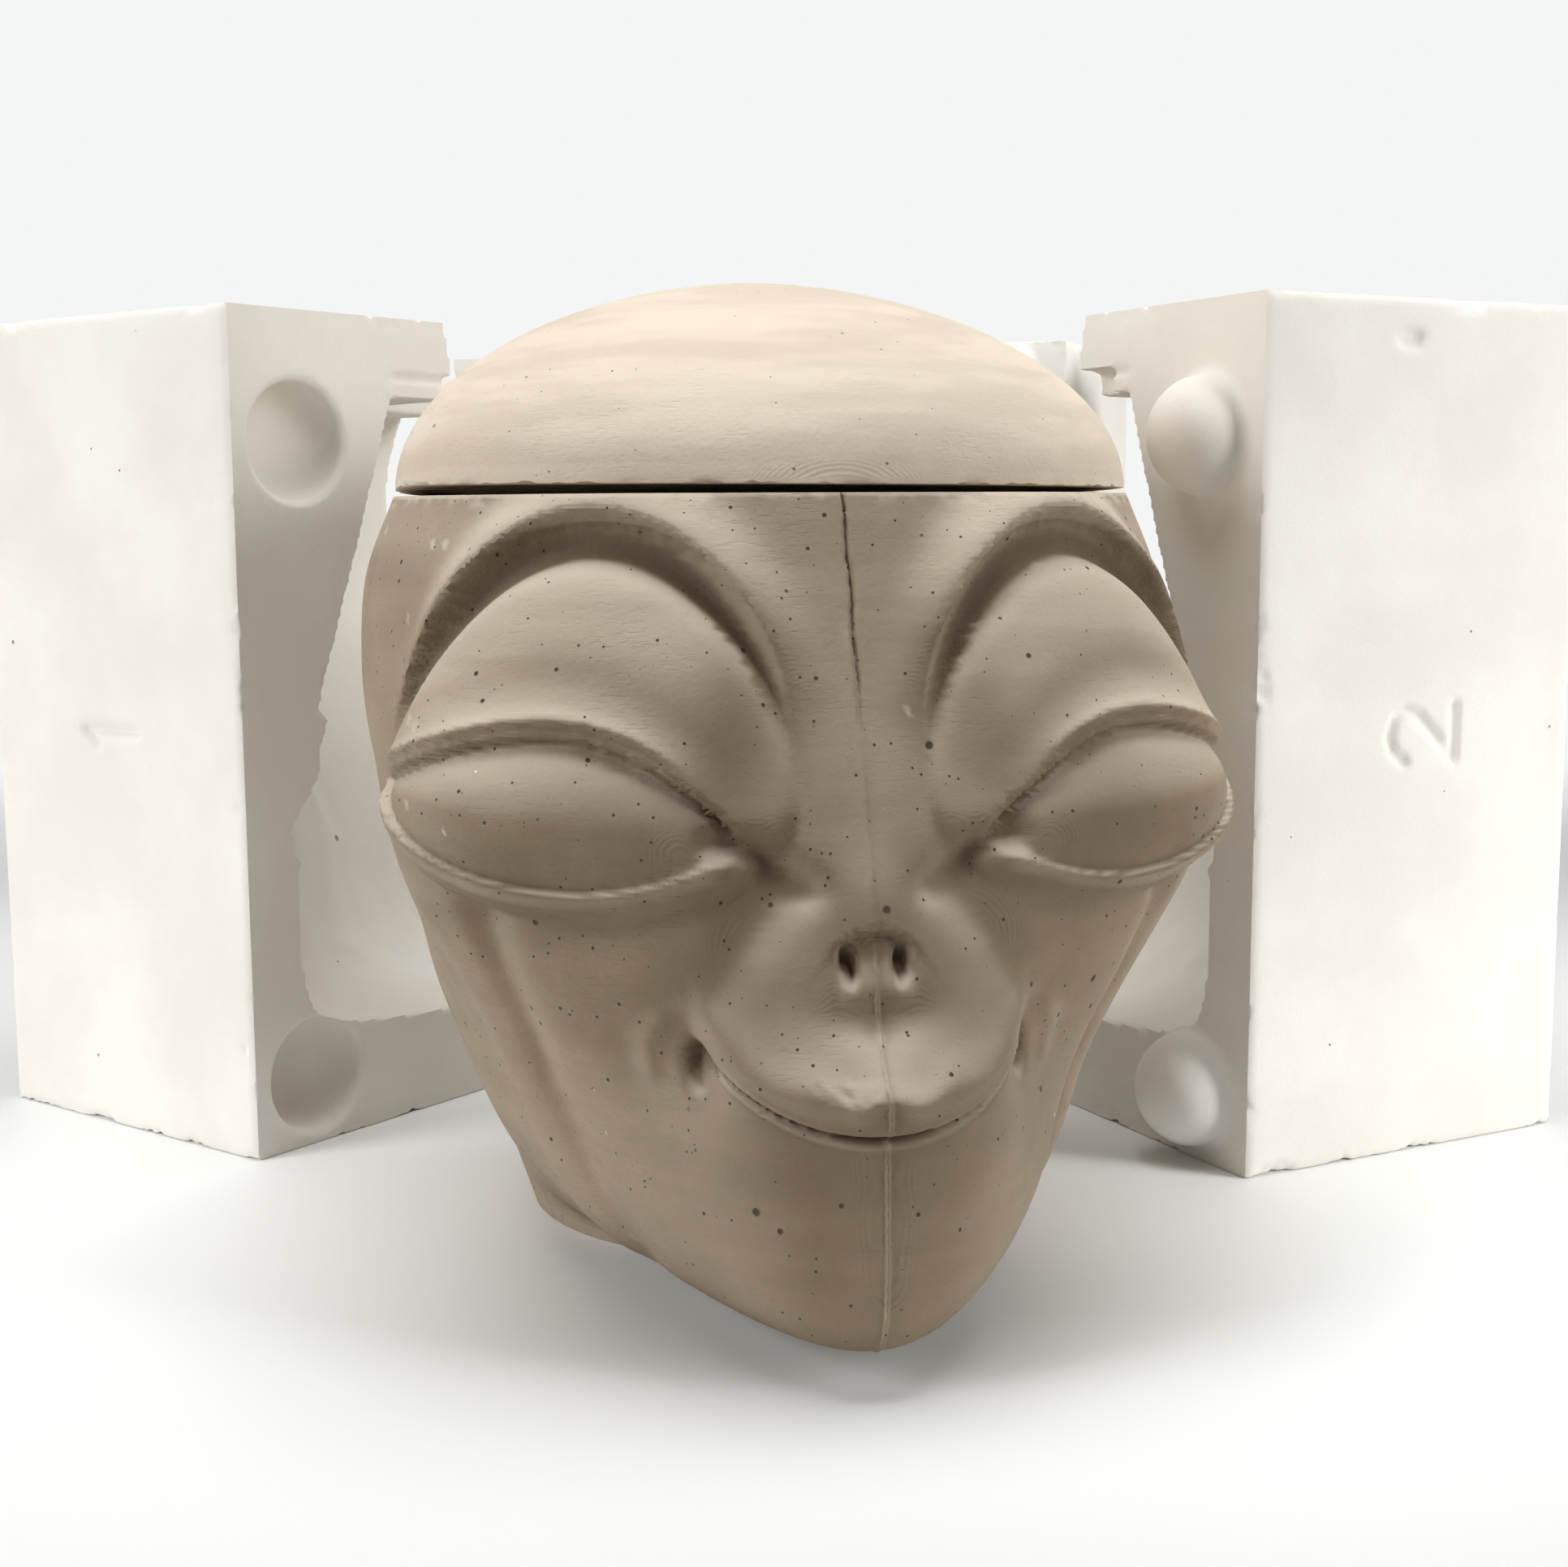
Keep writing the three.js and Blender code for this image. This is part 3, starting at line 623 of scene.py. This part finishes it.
# %% Finish a piece
def keep_hollows(piece, rounds=30, blur=8):
    """Stores how far each point lies below the mean of its surroundings, in millimetres."""
    mesh = piece.data
    count = len(mesh.vertices)
    place, normals = np.empty(3 * count), np.empty(3 * count)
    ends = np.empty(2 * len(mesh.edges), dtype=np.int64)
    mesh.vertices.foreach_get("co", place)
    mesh.vertices.foreach_get("normal", normals)
    mesh.edges.foreach_get("vertices", ends)
    place, normals = place.reshape(-1, 3), normals.reshape(-1, 3)
    near, far = ends.reshape(-1, 2).T
    neighbours = np.bincount(ends, minlength=count)

    def averaged(values, times):
        for _ in range(times):
            values = (np.bincount(near, values[far], count) + np.bincount(far, values[near], count)) / neighbours
        return values

    smooth = np.stack([averaged(place[:, axis], rounds) for axis in range(3)], axis=1)
    hollow = averaged(((smooth - place) * normals).sum(axis=1) / MM, blur)
    mesh.attributes.new("hollow", "FLOAT", "POINT").data.foreach_set("value", hollow)
    print(piece.name, "hollows from", round(hollow.min(), 2), "to", round(hollow.max(), 2))


def finish_piece(piece, node, body, finish, place=Matrix.Identity(4)):
    piece.data.transform(Matrix.Scale(MM, 4) @ place)
    facing = piece.data.attributes.new("facing", "FLOAT_VECTOR", "POINT")
    for stored, vertex in zip(facing.data, piece.data.vertices):
        stored.vector = vertex.normal
    keep_hollows(piece)
    piece.data.shade_smooth()
    piece.data.set_sharp_from_angle(angle=math.radians(50))
    piece.data.materials.clear()
    piece.data.materials.append(finish)
    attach(piece, body)
    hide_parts(node)
    triangles = sum(len(face.vertices) - 2 for face in piece.data.polygons)
    print(piece.name, triangles, "triangles, box", [round(v / MM, 1) for v in piece.dimensions])


# %% [markdown]
# ## The jar
# The jar's skin runs from the middle of its inner floor up the inside, over the collar that the lid sits
# round, across the flat rim, and down the face to the foot. The edge of the rim was trimmed by hand, so it
# is slightly ragged.

# %% Sizes of the jar
CAST_WALL = 5
COLLAR_RADIUS = 44
COLLAR_HEIGHT = 3
jar_angles = ring_angles(((3.4, 0.2), (6, 0.43), (87, 0.61), (105, 1.5), (180, 5)))
print(len(jar_angles), "columns round the jar")


# %% [markdown]
# Where the two front blocks met, the casting has a seam: a ragged groove on the forehead, a small step
# beside the nose and a thin raised line below it. Undersides that pulled on the plaster are rough.


# %% Seam and rough undersides
def seam_rise(point):
    wander = 0.5 * noise.noise(Vector((0, 0, point.z * 0.12))) + 0.12 * noise.noise(Vector((3, 0, point.z * 1.1)))
    beside = point.x - wander
    broken = 0.85 + 0.4 * noise.noise(Vector((7, 0, point.z * 0.9)))
    rise = -0.8 * broken * bell(beside, 0.32) * ease(80, 99, point.z)
    rise += 0.3 * ease(0.35, -0.35, beside) * ease(2.6, 0.4, -beside) * ease(58, 62, point.z) * ease(101, 96, point.z)
    rise += 0.5 * broken * bell(beside, 0.26) * ease(61, 57, point.z)
    return rise


def rough_rise(point):
    if abs(point.x) > 60 or point.z < 30 or point.y > 0:
        return 0.0
    steep = ease(0.45, 1.3, relief(point + Vector((0, 0, 0.8))) - relief(point)) * ease(84, 92, point.z)
    lip = bell(point.x + 5, 4) * bell(point.z - 41.8, 1.1)
    torn = noise.noise(Vector((point.x * 0.9, point.y * 0.9, point.z * 2.6)))
    return (0.5 * steep + 0.45 * lip) * torn


def marked_point(level, angle):
    """A point of the jar's outside with the marks that its own mould left."""
    point = plain_point(level, angle)
    radius = math.hypot(point.x, point.y)
    scale = (radius + relief(point) + rough_rise(point)) / radius
    scale += seam_rise(point) / radius if abs(point.x) < 4 and point.y < 0 else 0
    return Vector((point.x * scale, point.y * scale, point.z))


# %% Jar


def flat_ring(radius, height, angles):
    return [Vector((radius * math.sin(a), -radius * math.cos(a), height)) for a in angles]


def ragged(point, depth):
    """How far a trimmed edge is broken back at this point."""
    coarse = noise.noise(point * 0.35)
    fine = noise.noise(point * 1.3)
    return depth * max(0, coarse + 0.6 * fine)


def trimmed_rim(ring):
    top = []
    for point in ring:
        back = ragged(point, 0.9) * ease(RIM_HEIGHT - 1.6, RIM_HEIGHT, point.z)
        radius = math.hypot(point.x, point.y)
        top.append(Vector((point.x * (1 - back / radius), point.y * (1 - back / radius), point.z)))
    return top


def jar_skin():
    inside_rows, outside_rows = 24, 236
    inner = [[inside_point(level_at(i / inside_rows), a) for a in jar_angles] for i in range(inside_rows)]
    mouth = COLLAR_RADIUS - CAST_WALL
    collar = [
        flat_ring(RIM_RADIUS - CAST_WALL, RIM_HEIGHT - CAST_WALL, jar_angles),
        flat_ring(mouth, RIM_HEIGHT - CAST_WALL, jar_angles),
        flat_ring(mouth, RIM_HEIGHT + COLLAR_HEIGHT, jar_angles),
        flat_ring(COLLAR_RADIUS, RIM_HEIGHT + COLLAR_HEIGHT, jar_angles),
        flat_ring(COLLAR_RADIUS, RIM_HEIGHT, jar_angles),
        flat_ring(RIM_RADIUS - 1.5, RIM_HEIGHT, jar_angles),
    ]
    outer = [[marked_point(level_at(1 - i / outside_rows), a) for a in jar_angles]
             for i in range(outside_rows + 1)]
    outer = [trimmed_rim(ring) if ring[0].z > RIM_HEIGHT - 3 else ring for ring in outer]
    floor_middle = Vector((0, FOOT_SET_BACK, CAST_WALL))
    foot_middle = Vector((0, FOOT_SET_BACK, 0))
    return skin_of_rings(floor_middle, inner + collar + outer, foot_middle)


jar = as_object(jar_skin(), "jar")
finish_piece(jar, "jar_body", "jar", clay_finish)

# %% [markdown]
# ## The lid
# The lid is a shallow dome with a flat edge, cast hollow. Its crown leans a little towards the back of the
# head. It sits a hair above the rim, wider open at one side, as a dry lid does.

# %% Lid
LID_HEIGHT = 33
LID_SET_BACK = 9
LID_GAP = 0.6
LID_CLEARANCE = 0.8
LID_CROWN_WALL = 6


def lid_skin():
    rows = 110
    angles = [math.tau * i / 300 for i in range(300)]
    base = RIM_HEIGHT + LID_GAP
    seat_radius = COLLAR_RADIUS + LID_CLEARANCE
    seat_depth = COLLAR_HEIGHT + LID_CLEARANCE
    inside_rise = LID_HEIGHT - LID_CROWN_WALL - seat_depth

    def dome_ring(radius, height):
        lean = LID_SET_BACK * (height / LID_HEIGHT) ** 2
        ring = flat_ring(radius, base + height, angles)
        return [point + Vector((0, lean, 0)) for point in ring]

    def underside(radius, torn):
        ring = flat_ring(radius, RIM_HEIGHT + 0.25, angles)
        for point in ring:
            open_side = 0.45 + 0.75 * (0.5 - 0.5 * point.x / RIM_RADIUS)
            point.z += open_side * ease(47, 51, radius) * ease(22, -18, point.y)
            point.z += ragged(point * 1.3, 0.5) * torn
        return ring

    outside = []
    for i in range(1, rows):
        turn = math.pi / 2 * (1 - i / rows)
        height = LID_HEIGHT * math.sin(turn)
        step = 0.3 * ease(1.5, 1.0, height)
        outside.append(dome_ring((RIM_RADIUS - 0.3) * math.cos(turn) ** 1.11 + step, height))
    edge = []
    for point in underside(RIM_RADIUS - 0.3, 1):
        inward = 1 - ragged(point, 0.8) / RIM_RADIUS
        edge.append(Vector((point.x * inward, point.y * inward, point.z + 0.15)))
    outside = [ring for ring in outside if ring[0].z > RIM_HEIGHT + 1.9] + [edge]
    seat = [underside(radius, 0) for radius in (RIM_RADIUS - 1.3, 53, 51, 49, 47, seat_radius)]
    inside = []
    for i in range(24):
        turn = math.pi / 2 * i / 24
        inside.append(dome_ring(seat_radius * math.cos(turn), seat_depth + inside_rise * math.sin(turn)))
    crown = Vector((0, LID_SET_BACK, base + LID_HEIGHT))
    hollow_top = (LID_HEIGHT - LID_CROWN_WALL) / LID_HEIGHT
    ceiling = Vector((0, LID_SET_BACK * hollow_top ** 2, base + LID_HEIGHT - LID_CROWN_WALL))
    return skin_of_rings(crown, outside + seat + inside, ceiling)


lid = as_object(lid_skin(), "lid")
finish_piece(lid, "jar_lid", "lid", lid_finish)

# %% [markdown]
# ## The mould blocks
# Each block is cut as the real one was cast: a plain block of plaster less the head, the pour hole and the
# sockets, plus its keys. It is made in the closed mould's own place, where everything is square, and only
# then turned to where it stands. Booleans leave knife edges that plaster never has, so the block is
# remeshed in small voxels, which rounds every edge a little, and its flat faces are then thinned out.

# %% Sizes of the closed mould
CAST_GROWTH = 1.01
MOULD_FLOOR = 17
HALF_WIDTH = 73.1
FRONT_DEPTH = 95.7
BACK_DEPTH = 73.7
MOULD_HEIGHT = 150
CORNER_RADIUS = 3
HOLLOW_TOP = MOULD_FLOOR + RIM_HEIGHT * CAST_GROWTH
SLOT_BOTTOM = HOLLOW_TOP + COLLAR_HEIGHT * CAST_GROWTH
SLOT_TOP = SLOT_BOTTOM + 1.8
POUR_RADIUS = COLLAR_RADIUS - 2
KEY_RADIUS = 10.2
KEY_FLARE = 1
KEY_CLEARANCE = 0.3
KEY_REACH = KEY_RADIUS + KEY_FLARE + KEY_CLEARANCE
KEY_LOW = 1.2 + KEY_REACH
KEY_HIGH = MOULD_HEIGHT - 11.5 - KEY_REACH
FRONT_KEY_Y = 3.5 + KEY_REACH - FRONT_DEPTH
BACK_KEY_X = HALF_WIDTH - 9.5 - KEY_REACH
SMALL_KEY_RADIUS = 3.3
SMALL_KEY_X = HALF_WIDTH - 7.2 - SMALL_KEY_RADIUS - 0.7
SMALL_KEY_Z = (SLOT_TOP + MOULD_HEIGHT) / 2
VOXEL = 0.75
print("hollow's top at", round(HOLLOW_TOP, 1), "mm, keys at", round(KEY_LOW, 1), round(KEY_HIGH, 1))


# %% Cutters and keys
def hollow_skin():
    angles = ring_angles(((70, 1.3), (110, 2), (180, 5)))
    rows = 90
    rings = [[head_point(level_at(1 - i / rows), a) for a in angles] for i in range(rows + 1)]
    bm = skin_of_rings(Vector((0, 0, RIM_HEIGHT)), rings, Vector((0, FOOT_SET_BACK, 0)))
    bmesh.ops.scale(bm, vec=(CAST_GROWTH,) * 3, verts=bm.verts)
    bmesh.ops.translate(bm, vec=(0, 0, MOULD_FLOOR), verts=bm.verts)
    return bm


def pour_way():
    neck = COLLAR_RADIUS * CAST_GROWTH
    trim = RIM_RADIUS * CAST_GROWTH
    return turned([
        (0, HOLLOW_TOP - 1), (neck, HOLLOW_TOP - 1), (neck, SLOT_BOTTOM), (trim, SLOT_BOTTOM),
        (trim, SLOT_TOP), (POUR_RADIUS, SLOT_TOP), (POUR_RADIUS + 2.2, MOULD_HEIGHT + 1), (0, MOULD_HEIGHT + 1),
    ], 160)


def key_form(radius, flare):
    profile = [(0, -3), (radius + flare, -3), (radius + flare, 0), (radius + flare * 0.3, flare * 0.5)]
    for i in range(13):
        turn = math.pi / 2 * i / 12
        profile.append((radius * math.cos(turn), flare + (radius - flare) * math.sin(turn)))
    profile[-1] = (0, radius)
    return turned(profile, 48)


TO_LEFT = Matrix.Rotation(-math.pi / 2, 4, "Y")
TO_FRONT = Matrix.Rotation(math.pi / 2, 4, "X")
FRONT_KEYS = [Matrix.Translation((0, FRONT_KEY_Y, z)) @ TO_LEFT for z in (KEY_LOW, KEY_HIGH)]
BACK_KEYS = {side: Matrix.Translation((side * BACK_KEY_X, 0, KEY_LOW)) @ TO_FRONT for side in (-1, 1)}
SMALL_KEYS = {side: Matrix.Translation((side * SMALL_KEY_X, 0, SMALL_KEY_Z)) @ TO_FRONT for side in (-1, 1)}


# %% [markdown]
# A boolean modifier joins or cuts one object with another. Its result is read back as a plain mesh, and the
# tool is thrown away.


# %% Boolean with a throw-away tool
def combine(block, bm, operation, place=Matrix.Identity(4)):
    bmesh.ops.transform(bm, matrix=place, verts=bm.verts)
    bmesh.ops.recalc_face_normals(bm, faces=bm.faces)
    tool = as_object(bm, "tool")
    modifier = block.modifiers.new("boolean", "BOOLEAN")
    modifier.operation = operation
    modifier.solver = "EXACT"
    modifier.object = tool
    apply_modifiers(block)
    bpy.data.objects.remove(tool, do_unlink=True)


def apply_modifiers(piece):
    graph = bpy.context.evaluated_depsgraph_get()
    mesh = bpy.data.meshes.new_from_object(piece.evaluated_get(graph))
    piece.modifiers.clear()
    piece.data = mesh


# %% [markdown]
# Each block's outer face carries a plain digit, as potters number the pieces of a mould. It is scratched in
# along a few strokes, deepest in the middle of each, after the block has its fine even mesh.


# %% Digits
DIGIT_HEIGHT = 15
DIGIT_DEPTH = 1.1
DIGIT_HALF_WIDTH = 1.5
DIGITS = {
    "1": ((-0.18, 0.28), (0, 0.5), (0, -0.5)),
    "2": ((-0.3, 0.26), (-0.2, 0.43), (0, 0.5), (0.22, 0.42), (0.29, 0.24), (0.22, 0.04), (-0.3, -0.5), (0.32, -0.5)),
    "3": ((-0.28, 0.4), (0, 0.5), (0.24, 0.38), (0.24, 0.14), (0, 0.02), (0.28, -0.12), (0.28, -0.36), (0, -0.5),
          (-0.3, -0.4)),
}


def scratch_digit(piece, figure, place):
    """The digit lies in the plane of place, which is an outer face; its z axis points out of the plaster."""
    to_plane = place.inverted()
    outward = place.to_3x3() @ Vector((0, 0, 1))
    line = [(x * DIGIT_HEIGHT, y * DIGIT_HEIGHT) for x, y in DIGITS[figure]]
    for vertex in piece.data.vertices:
        flat = to_plane @ vertex.co
        if abs(flat.z) < 0.6 and max(abs(flat.x), abs(flat.y)) < DIGIT_HEIGHT:
            beside = distance_to_line(flat.x, flat.y, line)
            vertex.co -= outward * DIGIT_DEPTH * ease(DIGIT_HALF_WIDTH, 0.3, beside)


# %% [markdown]
# The corners of old plaster are worn and chipped. After the remesh, points close to two outer faces are
# pressed in by a patchy noise.


# %% Wear
def wear(piece, low, high):
    middle = (low + high) / 2
    for vertex in piece.data.vertices:
        co = vertex.co
        to_faces = sorted(min(abs(co[i] - low[i]), abs(co[i] - high[i])) for i in range(3))
        near_edge = ease(3.2, 0, to_faces[1]) * ease(1.5, 0, to_faces[0])
        if near_edge > 0:
            patch = noise.noise(co * 0.13) + 0.5 * noise.noise(co * 0.6)
            vertex.co = co + (middle - co).normalized() * near_edge * (0.15 + 1.6 * max(0, patch - 0.12))


# %% Build a block
def nick_form(middle, size):
    """A ragged lump to knock out of the plaster."""
    bm = bmesh.new()
    bmesh.ops.create_icosphere(bm, subdivisions=3, radius=1)
    for vertex in bm.verts:
        lump = 1 + 0.35 * noise.noise(vertex.co * 1.9 + Vector(middle))
        vertex.co = Vector([m + c * lump * r for m, c, r in zip(middle, vertex.co, size)])
    return bm


def make_block(name, low, high, cuts, joins, digit, nicks=()):
    low, high = Vector(low), Vector(high)
    bm = bmesh.new()
    bmesh.ops.create_cube(bm, size=1)
    bmesh.ops.scale(bm, vec=high - low, verts=bm.verts)
    bmesh.ops.translate(bm, vec=(low + high) / 2, verts=bm.verts)
    corners = [edge for edge in bm.edges if all(
        abs(v.co.x) > HALF_WIDTH - 1 and abs(v.co.y) > BACK_DEPTH - 1 for v in edge.verts)]
    bmesh.ops.bevel(bm, geom=corners, offset=CORNER_RADIUS, segments=5, profile=0.5, material=-1, affect="EDGES")
    block = as_object(bm, name)
    combine(block, hollow_skin(), "DIFFERENCE")
    combine(block, pour_way(), "DIFFERENCE")
    for place, radius, flare in cuts:
        combine(block, key_form(radius + KEY_CLEARANCE, flare), "DIFFERENCE", place)
    for place, radius, flare in joins:
        combine(block, key_form(radius, flare), "UNION", place)
    for middle, size in nicks:
        combine(block, nick_form(middle, size), "DIFFERENCE")
    remesh = block.modifiers.new("remesh", "REMESH")
    remesh.mode = "VOXEL"
    remesh.voxel_size = VOXEL
    apply_modifiers(block)
    wear(block, low, high)
    scratch_digit(block, *digit)
    if len(block.data.polygons) > 90000:
        thin = block.modifiers.new("thin", "DECIMATE")
        thin.ratio = 90000 / len(block.data.polygons)
        apply_modifiers(block)
    return block


# %% [markdown]
# Where each block stands is read from the frame: its base mount lies at a known point of the closed block,
# and its turn is the one measured in the photograph.


# %% Places of the open blocks
def standing_place(mount_name, turn_degrees, mount_local):
    mounts = {mount["name"]: mount for mount in frame["record"]["mounts"]}
    base = Vector(mounts[mount_name]["pos_m"]) / MM
    turn = Matrix.Rotation(math.radians(turn_degrees), 4, "Z")
    return Matrix.Translation(base - turn @ Vector((*mount_local, 0))) @ turn


LEFT_PLACE = standing_place("left_block_base", -47.6, (-36, -48))
RIGHT_PLACE = standing_place("right_block_base", 15.4, (36, -48))
BACK_PLACE = standing_place("back_block_base", -30.8, (0, 36))
large = (KEY_RADIUS, KEY_FLARE)
small = (SMALL_KEY_RADIUS, 0.4)

# %% [markdown]
# ### Left block
# It has three large sockets and a small one, and no keys.

# %% Left block
READING_UP = Matrix(((0, -1, 0, 0), (0, 0, -1, 0), (1, 0, 0, 0), (0, 0, 0, 1)))
left = make_block(
    "left_block", (-HALF_WIDTH, -FRONT_DEPTH, 0), (0, 0, MOULD_HEIGHT),
    [(FRONT_KEYS[0], *large), (FRONT_KEYS[1], *large), (BACK_KEYS[-1], *large), (SMALL_KEYS[-1], *small)], [],
    ("1", Matrix.Translation((-HALF_WIDTH / 2, -FRONT_DEPTH, 75)) @ READING_UP),
    [((-5, -FRONT_DEPTH, 116), (0.9, 0.8, 1.1)), ((-2.5, -FRONT_DEPTH, 20), (1.0, 0.9, 1.2))],
)
finish_piece(left, "left_mould_block", "left_block", plaster_finish, LEFT_PLACE)

# %% [markdown]
# ### Right block
# Two large keys stand on the face that meets the left block. A piece of the thin ledge under the trimming
# slot has broken off next to that face.

# %% Right block
right = make_block(
    "right_block", (0, -FRONT_DEPTH, 0), (HALF_WIDTH, 0, MOULD_HEIGHT),
    [(BACK_KEYS[1], *large), (SMALL_KEYS[1], *small)],
    [(FRONT_KEYS[0], *large), (FRONT_KEYS[1], *large)],
    ("2", Matrix.Translation((HALF_WIDTH / 2, -FRONT_DEPTH, 75)) @ READING_UP),
    [((0, -48.5, 137), (4.5, 5.5, 3.2)), ((31, -FRONT_DEPTH, 143), (4, 1.1, 1.9))],
)
finish_piece(right, "right_mould_block", "right_block", plaster_finish, RIGHT_PLACE)

# %% [markdown]
# ### Back block
# The wide block carries the keys that line it up with both front blocks.

# %% Back block
back = make_block(
    "back_block", (-HALF_WIDTH, 0, 0), (HALF_WIDTH, BACK_DEPTH, MOULD_HEIGHT), [],
    [(BACK_KEYS[-1], *large), (BACK_KEYS[1], *large), (SMALL_KEYS[-1], *small), (SMALL_KEYS[1], *small)],
    ("3", Matrix.Rotation(math.pi, 4, "Z") @ Matrix.Translation((0, -BACK_DEPTH, 75)) @ READING_UP),
)
finish_piece(back, "back_mould_block", "back_block", plaster_finish, BACK_PLACE)

# %% [markdown]
# ## The stage
# The photograph was taken on white, with soft light from above and from both sides and little from the
# camera. The floor is a pale sheet. Camera rays see the world as white, while its light on the object stays
# at a plain level.

# %% Floor
FLOOR_FRONT = -0.26
FLOOR_REACH = 1.1


def make_floor():
    bm = bmesh.new()
    bmesh.ops.create_grid(bm, x_segments=4, y_segments=4, size=FLOOR_REACH)
    bmesh.ops.translate(bm, vec=(0, FLOOR_REACH + FLOOR_FRONT, 0), verts=bm.verts)
    floor = as_object(bm, "floor")
    material, tree, shader, coordinates = new_material("floor")
    place = coordinates.outputs["Object"]
    clouds = noise_field(tree, place, 3, 2)
    colour = mixed(tree, clouds, (0.85, 0.865, 0.87), (0.88, 0.895, 0.90))
    tree.links.new(colour, shader.inputs["Base Color"])
    shader.inputs["Roughness"].default_value = 0.6
    away = add(tree, "ShaderNodeVectorMath", operation="LENGTH")
    tree.links.new(place, away.inputs[0])
    faded = remap(tree, away.outputs["Value"], 0.36, 0.72)
    clear = add(tree, "ShaderNodeBsdfTransparent")
    mix = add(tree, "ShaderNodeMixShader")
    tree.links.new(faded, mix.inputs[0])
    tree.links.new(shader.outputs[0], mix.inputs[1])
    tree.links.new(clear.outputs[0], mix.inputs[2])
    tree.links.new(mix.outputs[0], tree.nodes["Material Output"].inputs["Surface"])
    floor.data.materials.append(material)
    floor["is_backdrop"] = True


make_floor()


# %% World
def make_world(light, shown):
    world = bpy.data.worlds.new("world")
    bpy.context.scene.world = world
    world.use_nodes = True
    tree = world.node_tree
    plain = tree.nodes["Background"]
    plain.inputs["Color"].default_value = (0.96, 0.98, 1, 1)
    plain.inputs["Strength"].default_value = light
    seen = add(tree, "ShaderNodeBackground", Color=(0.905, 0.92, 0.92, 1), Strength=shown)
    path = add(tree, "ShaderNodeLightPath")
    mix = add(tree, "ShaderNodeMixShader")
    tree.links.new(path.outputs["Is Camera Ray"], mix.inputs[0])
    tree.links.new(plain.outputs[0], mix.inputs[1])
    tree.links.new(seen.outputs[0], mix.inputs[2])
    tree.links.new(mix.outputs[0], tree.nodes["World Output"].inputs["Surface"])


make_world(0.04, 1.0)


# %% Lamps
def area_lamp(name, place, target, size, power, spread=180):
    data = bpy.data.lights.new(name, "AREA")
    data.shape = "RECTANGLE"
    data.size, data.size_y = size
    data.energy = power
    data.color = (1, 0.995, 0.98)
    data.spread = math.radians(spread)
    lamp = bpy.data.objects.new(name, data)
    bpy.context.scene.collection.objects.link(lamp)
    lamp.location = place
    lamp.rotation_euler = (Vector(target) - Vector(place)).to_track_quat("-Z", "Y").to_euler()


area_lamp("above", (0, 0.02, 1), (0, 0, 0.08), (1, 0.6), 9.1)
area_lamp("left", (-0.85, -0.22, 0.4), (-0.13, 0.06, 0.08), (0.4, 0.5), 0.87, 60)
area_lamp("right", (0.58, -0.34, 0.3), (0.17, 0.02, 0.08), (0.3, 0.5), 0.53, 45)

# %% Finish
scene = bpy.context.scene
scene.view_settings.view_transform = "Standard"
visual_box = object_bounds()
for name, box in (("CAD box", cad_box), ("visual box", visual_box)):
    print(name, [[round(v / MM, 1) for v in corner] for corner in box])
